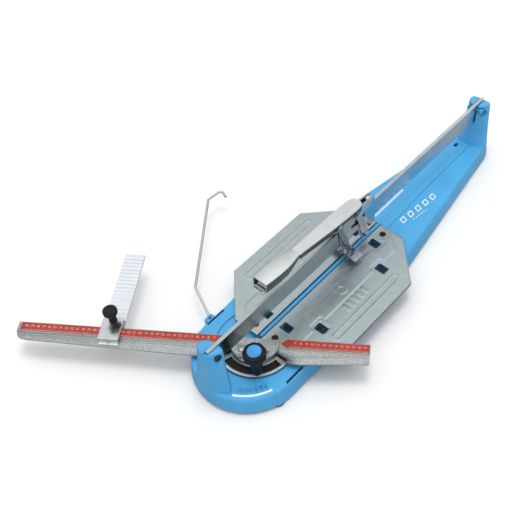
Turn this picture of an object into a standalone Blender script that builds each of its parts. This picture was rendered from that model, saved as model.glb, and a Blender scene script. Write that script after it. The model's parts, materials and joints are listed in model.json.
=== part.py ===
"""Pull-handle tile cutter: a cast base with a steel guide rail, a rolling carriage with a lever,
two sprung table plates, a swivelling measuring bar with a side stop, and a wire support arm."""

import math

import bmesh
import bpy
from mathutils import Matrix, Vector

MM = 0.001
GAP = 0.3

# The machine is drawn in millimetres about the bar's pivot: X across, Y along the cut, Z up.
# These offsets bring the middle of its overall box to the origin.
CENTRE_X = 75.4
CENTRE_Y = -221.3

# Base casting
BASE_BOTTOM = 6
DECK_TOP = 40
DECK_THICKNESS = 6
WALL = 9
NOSE_CENTRE_Y = -20
NOSE_RADIUS = 103
BASE_WIDEST_Y = 180
BASE_WIDEST_HALF = 112
BASE_REAR_Y = 697
BASE_REAR_HALF = 34
RIM_PROFILE = ((0, BASE_BOTTOM), (3.5, 33), (5, 37), (7.5, 39.3), (10.5, DECK_TOP))
CROSS_RIBS = (-17, 72, 160, 248, 336, 424, 512, 600, 650)
LONG_RIB_X = 30
RIB_HALF = 3
QUADRANT_RECESS_RADIUS = 73
QUADRANT_RECESS_DEPTH = 2.5
RIDGE_HALF = 3.2
RIDGE_FRONT_Y = 12
RIDGE_REAR_Y = 350
SPINE_FRONT_Y = 352
SPINE_WAIST_Y = 500
SPINE_REAR_Y = 654
SPINE_RISE = 1.6
FRONT_FOOT_RADIUS = 12
REAR_FOOT_RADIUS = 10
FRONT_FEET = (89, -46)
REAR_FEET = (20, 668)
FOOT_BOSS_RADIUS = 12.5
PIVOT_HOLE_RADIUS = 4.3
DECK_STRIP = ((-26, 362), (-19, 455))

# Guide rail and posts
RAIL_HALF = 3.4
RAIL_BOTTOM = 93
RAIL_TOP = 136
RAIL_FRONT_Y = -104
RAIL_REAR_Y = 691
POST_TOP = 134
FRONT_BOLT = (-95, 123)
REAR_BOLT = (667, 123)
BOLT_RECESS_RADIUS = 6.6

# Table plates
PLATE_INNER_X = 5.3
PLATE_OUTER_X = 135
PLATE_FRONT_Y = 8
PLATE_REAR_Y = 347
PLATE_CHAMFER = 77
PLATE_TOP = 50
PLATE_SHEET = 1.8
PLATE_SKIRT = 6.5
WINDOW_SIZE = (22, 16)
WINDOWS = ((24.5, 53), (72.5, 90), (72.5, 262), (24.5, 301))
PIN_X = 23
PIN_YS = (24, 329)
PIN_RADIUS = 5.6
PIN_HOLE_RADIUS = 7.4
SPRING_X = 62
SPRING_YS = (118, 232)

# Measuring bar and quadrant, in the bar's own frame: X along the bar, -Y towards the user
BAR_ANGLE = 34.7
BAR_BOTTOM = 51
BAR_TOP = 59
BAR_LABEL_DEPTH = 19
BAR_LEFT_END = -416
BAR_RIGHT_END = 199
BAR_TONGUE_TOP = 55
BAR_TONGUE_DEPTH = 32
FENCE_RELIEF = 0.6
BAR_SCREW_RADIUS = 33
BAR_SCREW_ANGLES = {"left": -38, "right": 34}
SCALE_FRONT_Y = -18
SCALE_REAR_Y = -1.6
QUADRANT_BOTTOM = 38.5
QUADRANT_TOP = 44
QUADRANT_RADIUS = 70
QUADRANT_HALF_ANGLE = 58
SLOT_RADIUS = 59.5
SLOT_HALF_ANGLE = 50
SLOT_WIDTH = 9
KNOB_ANGLE = 45
KNOB_LOBES = 9
KNOB_CAP_RADIUS = 12.4
STUD_RADIUS = 4
STOP_CENTRE = -250
STOP_HALF = 18
STOP_SCREW_Y = 9.4
FENCE_LENGTH = 150

# Carriage and lever: positions are (Y, Z) in the machine's frame
CARRIAGE_INNER_X = 4.2
CARRIAGE_OUTER_X = 6.2
LEVER_PIVOT = (270, 150)
LEVER_TILT = 4.65
LEVER_HALF = 12.2
YOKE_PIN = (216, 163)
WHEEL_AXLE = (295, 74)
WHEEL_RADIUS = 11
TOP_ROLLERS = {"front": 231, "rear": 312}
LOW_ROLLERS = {"front": 236, "rear": 314}
TOP_ROLLER_RADIUS = 9
LOW_ROLLER_RADIUS = 7
ARM_LAYER = (7.0, 9.8)

# Wire side arm
WIRE_RADIUS = 2.5
WIRE_PIVOT = (-108.5, -8)
WIRE_LEVEL = 46.5


def clear_scene():
    for obj in list(bpy.data.objects):
        bpy.data.objects.remove(obj)


def make_material(name, colour, roughness, metallic):
    material = bpy.data.materials.new(name)
    material.use_nodes = True
    shader = material.node_tree.nodes["Principled BSDF"]
    shader.inputs["Base Color"].default_value = (*colour, 1)
    shader.inputs["Roughness"].default_value = roughness
    shader.inputs["Metallic"].default_value = metallic
    return material


def make_empty(name, parent, location=(0, 0, 0), turn_z=0.0):
    """An empty that carries a moving group, with its origin on the group's joint axis."""
    empty = bpy.data.objects.new(name, None)
    bpy.context.scene.collection.objects.link(empty)
    empty.parent = parent
    empty.location = Vector(location) * MM
    empty.rotation_euler.z = math.radians(turn_z)
    return empty


def as_object(name, mesh, material=None, parent=None, location=(0, 0, 0), turn=(0, 0, 0)):
    """Links a bmesh drawn in millimetres as an object; turn is its rotation in degrees."""
    mesh.normal_update()
    bmesh.ops.recalc_face_normals(mesh, faces=mesh.faces)
    bmesh.ops.scale(mesh, vec=(MM, MM, MM), verts=mesh.verts)
    data = bpy.data.meshes.new(name)
    mesh.to_mesh(data)
    mesh.free()
    data.shade_smooth()
    data.set_sharp_from_angle(angle=math.radians(32))
    obj = bpy.data.objects.new(name, data)
    bpy.context.scene.collection.objects.link(obj)
    obj.location = Vector(location) * MM
    obj.rotation_euler = [math.radians(angle) for angle in turn]
    obj.parent = parent
    if material:
        data.materials.append(material)
    return obj


def combine(target, operation, name, mesh):
    """Adds (UNION) or cuts (DIFFERENCE) a helper shape drawn in the target's own frame."""
    helper = as_object(name, mesh, parent=target)
    helper.hide_render = True
    helper.display_type = "WIRE"
    modifier = target.modifiers.new(name, "BOOLEAN")
    modifier.operation = operation
    modifier.solver = "EXACT"
    modifier.object = helper


def round_edges(obj, width, angle=40, segments=2):
    bevel = obj.modifiers.new("round", "BEVEL")
    bevel.width = width * MM
    bevel.segments = segments
    bevel.limit_method = "ANGLE"
    bevel.angle_limit = math.radians(angle)


def placed(axis, across, along):
    """A point from two coordinates across an axis and one along it, the first two in XYZ order."""
    first, second = across
    return {
        "X": (along, first, second),
        "Y": (first, along, second),
        "Z": (first, second, along),
    }[axis]


def loft(rings):
    """A closed solid through rings of 3-D points, each ring with the same number of points."""
    mesh = bmesh.new()
    layers = [[mesh.verts.new(point) for point in ring] for ring in rings]
    count = len(layers[0])
    for below, above in zip(layers, layers[1:]):
        for i in range(count):
            j = (i + 1) % count
            mesh.faces.new((below[i], below[j], above[j], above[i]))
    mesh.faces.new(layers[0])
    mesh.faces.new(layers[-1])
    return mesh


def prism(axis, outline, low, high):
    return loft([[placed(axis, point, end) for point in outline] for end in (low, high)])


def box(low, high):
    (x0, y0, z0), (x1, y1, z1) = low, high
    return prism("Z", ((x0, y0), (x1, y0), (x1, y1), (x0, y1)), z0, z1)


def side_box(side, low, high):
    """A box given for the right side (side 1), or its mirror image on the left (side -1)."""
    x0, x1 = sorted((side * low[0], side * high[0]))
    return box((x0, *low[1:]), (x1, *high[1:]))


def merged(*meshes):
    """Several separate solids in one mesh, used where one helper cuts many openings."""
    whole = bmesh.new()
    for mesh in meshes:
        data = bpy.data.meshes.new("merging")
        mesh.to_mesh(data)
        mesh.free()
        whole.from_mesh(data)
        bpy.data.meshes.remove(data)
    return whole


def circle(radius, steps, centre=(0, 0)):
    return [
        (
            centre[0] + radius * math.cos(math.tau * i / steps),
            centre[1] + radius * math.sin(math.tau * i / steps),
        )
        for i in range(steps)
    ]


def cylinder(axis, centre, radius, low, high, steps=24):
    return prism(axis, circle(radius, steps, centre), low, high)


def turned(axis, profile, steps=32, centre=(0, 0), bore=0):
    """A solid of revolution from (radius, height) pairs, with a straight bore if one is given."""
    rings = [
        [placed(axis, point, height) for point in circle(radius, steps, centre)]
        for radius, height in profile
    ]
    if not bore:
        return loft(rings)
    for height in (profile[-1][1], profile[0][1]):
        rings.append([placed(axis, point, height) for point in circle(bore, steps, centre)])
    mesh = bmesh.new()
    layers = [[mesh.verts.new(point) for point in ring] for ring in rings]
    for below, above in zip(layers, layers[1:] + layers[:1]):
        for i in range(steps):
            j = (i + 1) % steps
            mesh.faces.new((below[i], below[j], above[j], above[i]))
    return mesh


def capsule(axis, start, end, radius, low, high, steps=8):
    """A flat bar with round ends between two points, its thickness running along the axis."""
    (u0, v0), (u1, v1) = start, end
    heading = math.atan2(v1 - v0, u1 - u0)
    outline = []
    for (u, v), first in ((end, heading - math.pi / 2), (start, heading + math.pi / 2)):
        for i in range(steps + 1):
            angle = first + math.pi * i / steps
            outline.append((u + radius * math.cos(angle), v + radius * math.sin(angle)))
    return prism(axis, outline, low, high)


def ring_sector(inner, outer, first, last, low, high, steps=24):
    """Part of a flat ring about Z. Angles are in degrees from -Y, turning towards +X."""
    outline = []
    for radius, (start, end) in ((outer, (first, last)), (inner, (last, first))):
        for i in range(steps + 1):
            angle = math.radians(start + (end - start) * i / steps)
            outline.append((radius * math.sin(angle), -radius * math.cos(angle)))
    return prism("Z", outline, low, high)


def wire(path, radius, sides=10):
    """A round wire along a path of points, with its section kept square to the path."""
    points = [Vector(point) for point in path]
    tangents = []
    for i in range(len(points)):
        tangents.append((points[min(i + 1, len(points) - 1)] - points[max(i - 1, 0)]).normalized())
    side = tangents[0].orthogonal().normalized()
    rings = []
    for i, point in enumerate(points):
        if i:
            side = tangents[i - 1].rotation_difference(tangents[i]) @ side
        other = tangents[i].cross(side)
        stretch = 1.0
        if 0 < i < len(points) - 1:
            before = (point - points[i - 1]).normalized()
            stretch = 1 / max(before.dot(tangents[i]), 0.5)
        bend = Vector()
        if stretch > 1.0001:
            bend = (points[i + 1] - point).normalized() - (point - points[i - 1]).normalized()
            bend.normalize()
        ring = []
        for k in range(sides):
            angle = math.tau * k / sides
            offset = side * math.cos(angle) + other * math.sin(angle)
            offset += bend * offset.dot(bend) * (stretch - 1)
            ring.append(point + offset * radius)
        rings.append(ring)
    return loft(rings)


def rounded_path(corners, radius, steps=5):
    """The corners of a path with each inner one replaced by an arc."""
    points = [Vector(corners[0])]
    for before, corner, after in zip(corners, corners[1:], corners[2:]):
        corner = Vector(corner)
        entering = (Vector(before) - corner).normalized()
        leaving = (Vector(after) - corner).normalized()
        half = entering.angle(leaving) / 2
        reach = radius / math.tan(half)
        centre = corner + (entering + leaving).normalized() * radius / math.sin(half)
        start = (corner + entering * reach - centre).normalized()
        end = (corner + leaving * reach - centre).normalized()
        for i in range(steps + 1):
            points.append(centre + start.slerp(end, i / steps) * radius)
    points.append(Vector(corners[-1]))
    return points


# Base casting


def base_half_width(y):
    """Half the base's width at its foot: it swells to the table's middle and tapers to the rear."""
    if y < BASE_WIDEST_Y:
        share = max(0.0, (y - 20) / (BASE_WIDEST_Y - 20))
        return NOSE_RADIUS + (BASE_WIDEST_HALF - NOSE_RADIUS) * share
    share = (y - BASE_WIDEST_Y) / (BASE_REAR_Y - BASE_WIDEST_Y)
    return BASE_WIDEST_HALF + (BASE_REAR_HALF - BASE_WIDEST_HALF) * share


def base_outline(inset):
    """The base's outline in plan, moved in from the foot's by inset."""
    outline = []
    nose = NOSE_RADIUS - inset
    for i in range(33):
        angle = math.pi + math.pi * i / 32
        outline.append((nose * math.cos(angle), NOSE_CENTRE_Y + nose * math.sin(angle)))
    corner = 24
    rear_y = BASE_REAR_Y - inset * 0.6
    rear_half = BASE_REAR_HALF - inset * 0.75
    right = [(base_half_width(y) - inset, y) for y in (20, 110, BASE_WIDEST_Y, 440)]
    right.append((base_half_width(rear_y - corner) - inset, rear_y - corner))
    right.append((rear_half - 4, rear_y - 7.5))
    right.append((rear_half - corner * 0.6, rear_y))
    outline.extend(right)
    outline.extend((-x, y) for x, y in reversed(right))
    return outline


def bay(outline):
    return prism("Z", outline, BASE_BOTTOM - 2, DECK_TOP - DECK_THICKNESS)


def nose_bay(x_low, x_high):
    """A bay in the round nose, from the first cross rib forward to the wall."""
    radius = NOSE_RADIUS - WALL
    steps = 6
    outline = [(x_low, NOSE_CENTRE_Y)]
    for i in range(steps + 1):
        x = x_low + (x_high - x_low) * i / steps
        outline.append((x, NOSE_CENTRE_Y - math.sqrt(radius**2 - x**2)))
    outline.append((x_high, NOSE_CENTRE_Y))
    return bay(outline)


def hollow_bays():
    """The bays under the deck, between its cross ribs and its two long ribs."""
    middle = LONG_RIB_X - RIB_HALF
    aside = LONG_RIB_X + RIB_HALF
    nose_side = NOSE_RADIUS - WALL - 1
    bays = [nose_bay(-middle, middle), nose_bay(aside, nose_side), nose_bay(-nose_side, -aside)]
    for front_rib, rear_rib in zip(CROSS_RIBS, CROSS_RIBS[1:]):
        y_low, y_high = front_rib + RIB_HALF, rear_rib - RIB_HALF
        low_half = base_half_width(y_low) - WALL
        high_half = base_half_width(y_high) - WALL
        # Where the base is narrow the long ribs end, and one bay takes the whole width.
        if high_half < aside + WALL:
            bays.append(
                bay(((-low_half, y_low), (low_half, y_low), (high_half, y_high), (-high_half, y_high)))
            )
            continue
        bays.append(bay(((-middle, y_low), (middle, y_low), (middle, y_high), (-middle, y_high))))
        right = ((aside, y_low), (low_half, y_low), (high_half, y_high), (aside, y_high))
        bays.append(bay(right))
        bays.append(bay([(-x, y) for x, y in reversed(right)]))
    return merged(*bays)


def build_base(parent, material):
    rings = [[(x, y, z) for x, y in base_outline(inset)] for inset, z in RIM_PROFILE]
    base = as_object("base_casting", loft(rings), material, parent)

    recess = cylinder(
        "Z", (0, 0), QUADRANT_RECESS_RADIUS, DECK_TOP - QUADRANT_RECESS_DEPTH, DECK_TOP + 5, 48
    )
    combine(base, "DIFFERENCE", "quadrant_recess", recess)

    combine(base, "DIFFERENCE", "hollow_bays", hollow_bays())

    # The front feet stand under round bosses that swell out of the nose and fade into the deck.
    boss = [(FOOT_BOSS_RADIUS - inset, z - GAP) for inset, z in RIM_PROFILE]
    boss[0] = (FOOT_BOSS_RADIUS, BASE_BOTTOM)
    bosses = [
        turned("Z", boss, 24, (side * FRONT_FEET[0], FRONT_FEET[1])) for side in (-1, 1)
    ]
    knob_place = polar(SLOT_RADIUS, KNOB_ANGLE)
    bosses.append(cylinder("Z", knob_place, 11, 14, 35))
    bosses.append(cylinder("Z", (0, 0), 13, 14, 35))
    combine(base, "UNION", "foot_and_pivot_bosses", merged(*bosses))

    ridge = prism(
        "Y",
        ((-5, 35), (5, 35), (RIDGE_HALF, 48.6), (1.6, 50), (-1.6, 50), (-RIDGE_HALF, 48.6)),
        RIDGE_FRONT_Y,
        RIDGE_REAR_Y,
    )
    combine(base, "UNION", "breaking_ridge", ridge)

    right_edge = ((16, SPINE_FRONT_Y), (11, SPINE_WAIST_Y), (9, SPINE_REAR_Y))
    left_edge = [(-x, y) for x, y in reversed(right_edge)]
    spine = prism("Z", (*right_edge, *left_edge), DECK_TOP - 4, DECK_TOP + SPINE_RISE)
    combine(base, "UNION", "rear_spine", spine)

    above = DECK_TOP + 5
    holes = [cylinder("Z", place, PIVOT_HOLE_RADIUS, 8, above) for place in ((0, 0), knob_place)]
    holes.append(capsule("Z", (-14, 628), (-14, 634), 3.6, 20, above))
    # The deck is open under each window of the table plates.
    half = WINDOW_SIZE[0] / 2 + 2
    for side in (-1, 1):
        holes.append(side_box(side, (91.5, -26, 27), (96, 15, above)))
        for x, y in WINDOWS:
            holes.append(side_box(side, (x - half, y - half, 20), (x + half, y + half, above)))
    combine(base, "DIFFERENCE", "pivot_holes_and_arm_slots", merged(*holes))
    return base


def build_deck_strip(parent, material):
    """A thin printed strip on the rear deck, beside the spine."""
    low, high = DECK_STRIP
    strip = box((*low, DECK_TOP + GAP), (*high, DECK_TOP + GAP + 0.4))
    as_object("deck_scale", strip, material, parent)


def build_feet(parent, material):
    ends = (("front", FRONT_FEET, FRONT_FOOT_RADIUS), ("rear", REAR_FEET, REAR_FOOT_RADIUS))
    for end, (x, y), radius in ends:
        for side, sign in (("left", -1), ("right", 1)):
            profile = ((radius - 2, 0), (radius, 1.6), (radius, BASE_BOTTOM - GAP))
            as_object(f"foot_{end}_{side}", turned("Z", profile, 24, (sign * x, y)), material, parent)


# Posts and rail


def front_post(parent, material):
    foot = (
        (38, -97), (16, -84), (-16, -84), (-38, -97), (-37, -104),
        (-20, -110), (0, -112), (20, -110), (37, -104),
    )
    head = (
        (18, -91), (12, -82), (-12, -82), (-18, -91), (-17.5, -107),
        (-9, -110.5), (0, -111.5), (9, -110.5), (17.5, -107),
    )
    levels = ((foot, DECK_TOP + GAP), (head, POST_TOP))
    post = as_object(
        "front_post", loft([[(x, y, z) for x, y in ring] for ring, z in levels]), material, parent
    )
    round_edges(post, 2.4, 28)
    slot_half = RAIL_HALF + 0.5
    # The slot holds the rail's end behind a wall that stops just under the rail's top.
    slot = (
        (-60, RAIL_BOTTOM - GAP), (RAIL_FRONT_Y - GAP, RAIL_BOTTOM - GAP),
        (RAIL_FRONT_Y - GAP, POST_TOP - 3), (-120, POST_TOP - 3), (-120, POST_TOP + 5),
        (-60, POST_TOP + 5),
    )
    combine(post, "DIFFERENCE", "front_rail_slot", prism("X", slot, -slot_half, slot_half))
    combine(post, "DIFFERENCE", "front_bolt_hole", bolt_hole(FRONT_BOLT))
    return post


def rear_post(parent, material):
    foot = (
        (31, 646), (9, 634), (-9, 634), (-31, 646), (-29, 684), (-22, 690.5), (22, 690.5), (29, 684),
    )
    head = (
        (19, 655), (14, 650), (-14, 650), (-19, 655), (-19, 684), (-15, 690), (15, 690), (19, 684),
    )
    levels = ((foot, DECK_TOP + 2), (head, POST_TOP))
    post = as_object(
        "rear_post", loft([[(x, y, z) for x, y in ring] for ring, z in levels]), material, parent
    )
    round_edges(post, 2.4, 28)
    slot = box((-5.2, 600, RAIL_BOTTOM - GAP), (5.2, 700, POST_TOP + 5))
    combine(post, "DIFFERENCE", "rear_rail_slot", slot)
    combine(post, "DIFFERENCE", "rear_bolt_hole", bolt_hole(REAR_BOLT))
    return post


def bolt_hole(place):
    """A cross hole with a counterbore that opens on each cheek of a post."""
    wide = BOLT_RECESS_RADIUS
    profile = ((wide, -40), (wide, -12), (3.3, -12), (3.3, 12), (wide, 12), (wide, 40))
    return turned("X", profile, 24, place)


def build_rail(parent, steel, black):
    rail = as_object(
        "guide_rail",
        box((-RAIL_HALF, RAIL_FRONT_Y, RAIL_BOTTOM), (RAIL_HALF, RAIL_REAR_Y, RAIL_TOP)),
        steel,
        parent,
    )
    round_edges(rail, 0.7)
    holes = merged(
        cylinder("X", FRONT_BOLT, 3.3, -10, 10), cylinder("X", REAR_BOLT, 3.3, -10, 10)
    )
    combine(rail, "DIFFERENCE", "rail_bolt_holes", holes)
    for end, place in (("front", FRONT_BOLT), ("rear", REAR_BOLT)):
        profile = (
            (5.0, -16.8), (5.6, -16.2), (5.6, -12.3), (3, -12.3), (3, 12.3), (5.6, 12.3),
            (5.6, 16.6), (5.0, 17.2),
        )
        bolt = as_object(f"rail_bolt_{end}", turned("X", profile, 24, place), black, parent)
        socket = prism("X", circle(2.6, 6, place), 14.2, 20)
        combine(bolt, "DIFFERENCE", f"{end}_bolt_socket", socket)


# Table plates


def plate_outline(side, inset):
    inner = PLATE_INNER_X + inset
    outer = PLATE_OUTER_X - inset
    front = PLATE_FRONT_Y + inset
    rear = PLATE_REAR_Y - inset
    corner = PLATE_CHAMFER - inset * 0.42
    outline = (
        (inner, front), (outer - corner, front), (outer, front + corner),
        (outer, rear - corner), (outer - corner, rear), (inner, rear),
    )
    return [(side * x, y) for x, y in outline]


def build_plate(name, side, parent, material):
    low = PLATE_TOP - PLATE_SKIRT
    plate = as_object(name, prism("Z", plate_outline(side, 0), low, PLATE_TOP), material, parent)
    round_edges(plate, 0.9)
    inside = prism("Z", plate_outline(side, PLATE_SHEET), low - 5, PLATE_TOP - PLATE_SHEET)
    # The inner and front edges have no skirt, so the quadrant and the ridge pass under them.
    sheet_bottom = PLATE_TOP - PLATE_SHEET
    front_edge = side_box(side, (2, PLATE_FRONT_Y - 5, low - 5), (90, 60, sheet_bottom))
    inner_edge = side_box(side, (2, 0, low - 5), (14, PLATE_REAR_Y + 13, sheet_bottom))
    combine(plate, "DIFFERENCE", f"{name}_underside", inside)
    combine(plate, "DIFFERENCE", f"{name}_open_front", front_edge)
    combine(plate, "DIFFERENCE", f"{name}_open_inner", inner_edge)

    wide, long = (size / 2 for size in WINDOW_SIZE)
    low, high = PLATE_TOP - 4, PLATE_TOP + 4
    openings = []
    for x, y in WINDOWS:
        openings.append(side_box(side, (x - wide, y - long, low), (x + wide, y + long, high)))
    for y in PIN_YS:
        openings.append(cylinder("Z", (side * PIN_X, y), PIN_HOLE_RADIUS, low, high))
    combine(plate, "DIFFERENCE", f"{name}_openings", merged(*openings))

    ribs = merged(
        capsule("Z", (side * 108, 105), (side * 108, 250), 2.2, PLATE_TOP - 1, PLATE_TOP + 0.7),
        capsule("Z", (side * 44, 90), (side * 44, 262), 1.8, PLATE_TOP - 1, PLATE_TOP + 0.7),
    )
    combine(plate, "UNION", f"{name}_ribs", ribs)
    return plate


def coil(centre, radius, low, high, turns, thickness):
    """A compression spring that stands between two levels, with flat first and last turns."""
    steps = 12 * turns
    path = []
    for i in range(steps + 1):
        share = i / steps
        angle = math.tau * turns * share
        rise = min(max((share * turns - 0.6) / (turns - 1.2), 0), 1)
        height = low + thickness + (high - low - 2 * thickness) * rise
        # A flat turn would touch itself, so each end turn still climbs a little.
        height += (share - 0.5) * 0.4
        path.append(
            (centre[0] + radius * math.cos(angle), centre[1] + radius * math.sin(angle), height)
        )
    return wire(path, thickness, 5)


def build_plate_fittings(side_name, side, group, base_parent, brass, black, spring_steel):
    for end, y in zip(("front", "rear"), PIN_YS):
        centre = (side * PIN_X, y)
        outer = PIN_HOLE_RADIUS - 0.1
        grommet = ((outer, PLATE_TOP - 4.2), (outer, PLATE_TOP - 0.2))
        as_object(
            f"plate_bushing_{side_name}_{end}",
            turned("Z", grommet, 24, centre, bore=PIN_RADIUS + 0.5),
            brass,
            group,
        )
        pin = (
            (PIN_RADIUS, DECK_TOP + GAP), (PIN_RADIUS, PLATE_TOP - 2.8), (PIN_RADIUS - 0.6, PLATE_TOP - 2.2)
        )
        screw = as_object(
            f"plate_pin_{side_name}_{end}", turned("Z", pin, 24, centre), black, base_parent
        )
        socket = prism("Z", circle(3, 6, centre), PLATE_TOP - 5.5, PLATE_TOP + 2)
        combine(screw, "DIFFERENCE", f"pin_socket_{side_name}_{end}", socket)
    for end, y in zip(("front", "rear"), SPRING_YS):
        low = DECK_TOP + GAP
        high = PLATE_TOP - PLATE_SHEET - GAP
        spring = coil((side * SPRING_X, y), 6, low, high, 3, 0.7)
        as_object(f"plate_spring_{side_name}_{end}", spring, spring_steel, base_parent)


# Measuring bar


def polar(radius, degrees):
    """A point about the pivot, its angle measured from -Y towards +X."""
    angle = math.radians(degrees)
    return (radius * math.sin(angle), -radius * math.cos(angle))


def bar_section(x, front, top=BAR_TOP, label_depth=BAR_LABEL_DEPTH, relief=0):
    """The bar's section at one place: square at the fence side, sloping down to a thin front."""
    return [
        (x, -relief, BAR_BOTTOM),
        (x, -relief, top),
        (x, -label_depth, top),
        (x, -front, BAR_BOTTOM + 1.6),
        (x, -front, BAR_BOTTOM),
    ]


def build_bar(pivot, aluminium):
    stations = [
        bar_section(BAR_LEFT_END, 22, BAR_TOP - 1.5, 17),
        bar_section(BAR_LEFT_END + 6, 31),
        bar_section(-130, 41.5),
        bar_section(-60, 41.5),
        bar_section(-44, 41.5),
        bar_section(-43, 40, BAR_TONGUE_TOP, BAR_TONGUE_DEPTH, FENCE_RELIEF),
        bar_section(43, 40, BAR_TONGUE_TOP, BAR_TONGUE_DEPTH, FENCE_RELIEF),
        bar_section(44, 44),
        bar_section(80, 46),
        bar_section(BAR_RIGHT_END, 37),
    ]
    bar = as_object("measuring_bar", loft(stations), aluminium, pivot)
    # The bar is cut away in an arc, so the clamp knob stands clear of it at every angle.
    clearance = ring_sector(
        SLOT_RADIUS - 11.5, SLOT_RADIUS + 12.5, -QUADRANT_HALF_ANGLE, QUADRANT_HALF_ANGLE, 45, 70
    )
    combine(bar, "DIFFERENCE", "knob_clearance", clearance)
    # The screws that join the bar to the quadrant pass through these holes.
    combine(bar, "DIFFERENCE", "bar_screw_holes", merged(*bar_screw_holes(45, 70)))
    return bar


def bar_screw_holes(low, high):
    return [
        cylinder("Z", polar(BAR_SCREW_RADIUS, angle), 2.3, low, high, 16)
        for angle in BAR_SCREW_ANGLES.values()
    ]


def build_scales(pivot, red):
    """Two thin strips on top of the bar; the right one starts in a point at the quadrant."""
    low, high = BAR_TOP + 0.05, BAR_TOP + 0.5
    front, rear = SCALE_FRONT_Y, SCALE_REAR_Y
    start, end = BAR_LEFT_END + 6, -48
    left = ((start, front), (end, front), (end, rear), (start, rear))
    tip, start, end = 46, 56, BAR_RIGHT_END - 1
    right = ((tip, (front + rear) / 2), (start, front), (end, front), (end, rear), (start, rear))
    as_object("scale_left", prism("Z", left, low, high), red, pivot)
    as_object("scale_right", prism("Z", right, low, high), red, pivot)


def build_quadrant(pivot, aluminium, steel):
    sector = ring_sector(
        6, QUADRANT_RADIUS, -QUADRANT_HALF_ANGLE, QUADRANT_HALF_ANGLE, QUADRANT_BOTTOM, QUADRANT_TOP, 40
    )
    quadrant = as_object("quadrant_plate", sector, aluminium, pivot)
    platform = ring_sector(5, 45, -48, 46, QUADRANT_TOP - 2, BAR_BOTTOM - GAP, 16)
    combine(quadrant, "UNION", "bar_platform", platform)
    hub = cylinder("Z", (0, 0), 9, QUADRANT_BOTTOM, BAR_BOTTOM - GAP, 32)
    combine(quadrant, "UNION", "pivot_hub", hub)
    half_slot = SLOT_WIDTH / 2
    slot = ring_sector(
        SLOT_RADIUS - half_slot, SLOT_RADIUS + half_slot, -SLOT_HALF_ANGLE, SLOT_HALF_ANGLE, 30, 48, 40
    )
    combine(quadrant, "DIFFERENCE", "arc_slot", slot)
    holes = bar_screw_holes(QUADRANT_TOP - 1, 60)
    holes.append(cylinder("Z", (0, 0), 4.1, 30, 60))
    combine(quadrant, "DIFFERENCE", "quadrant_holes", merged(*holes))

    # The pivot bolt comes up from the base and ends under the bar, which hides it.
    bolt = ((7, 10), (7, 13.7), (4, 13.7), (4, BAR_BOTTOM - 1.5), (3.4, BAR_BOTTOM - 0.8))
    as_object("pivot_bolt", turned("Z", bolt, 24), steel, pivot.parent)
    top = BAR_TONGUE_TOP + GAP
    for side_name, angle in BAR_SCREW_ANGLES.items():
        x, y = polar(BAR_SCREW_RADIUS, angle)
        head = ((2, 46), (2, top), (4.2, top), (4.2, top + 1.6), (3.4, top + 2.4))
        screw = as_object(f"bar_screw_{side_name}", turned("Z", head, 16, (x, y)), steel, pivot)
        slot = box((x - 2.4, y - 0.5, top + 1.2), (x + 2.4, y + 0.5, top + 4))
        combine(screw, "DIFFERENCE", f"bar_screw_slot_{side_name}", slot)


def build_knob(parent, black, blue, steel):
    x, y = polar(SLOT_RADIUS, KNOB_ANGLE)
    knob_turn = make_empty("clamp_knob_axis", parent, (x, y, QUADRANT_TOP))
    washer = ((10.5, GAP), (10.5, 2))
    bore = STUD_RADIUS + 0.15
    as_object("clamp_washer", turned("Z", washer, 32, bore=bore), steel, knob_turn)
    as_object("clamp_stud", cylinder("Z", (0, 0), STUD_RADIUS, -26, 12), steel, knob_turn)

    rings = []
    profile = (
        (10, 2.3), (10.9, 4), (10.4, 30), (11.8, 38), (17, 43),
        (20.2, 47.5), (20.4, 57), (18.8, 61), (14.4, 62.4),
    )
    steps = KNOB_LOBES * 4
    for radius, height in profile:
        # Only the wide head is fluted; the neck below it is round.
        flute = 0.055 * min(1, max(0, (radius - 12) / 5))
        ring = []
        for i in range(steps):
            angle = math.tau * i / steps
            reach = radius * (1 - flute * (1 + math.cos(KNOB_LOBES * angle)) / 2)
            ring.append((reach * math.cos(angle), reach * math.sin(angle), height))
        rings.append(ring)
    knob = as_object("clamp_knob", loft(rings), black, knob_turn)
    combine(knob, "DIFFERENCE", "knob_bores", merged(
        cylinder("Z", (0, 0), bore, -5, 14), cylinder("Z", (0, 0), KNOB_CAP_RADIUS + 0.4, 60.6, 70, 32)
    ))
    cap_top = KNOB_CAP_RADIUS - 0.8
    cap = ((KNOB_CAP_RADIUS, 60.9), (KNOB_CAP_RADIUS, 62.6), (cap_top, 63.5), (7, 64.1))
    as_object("clamp_knob_cap", turned("Z", cap, 32), blue, knob_turn)


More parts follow.
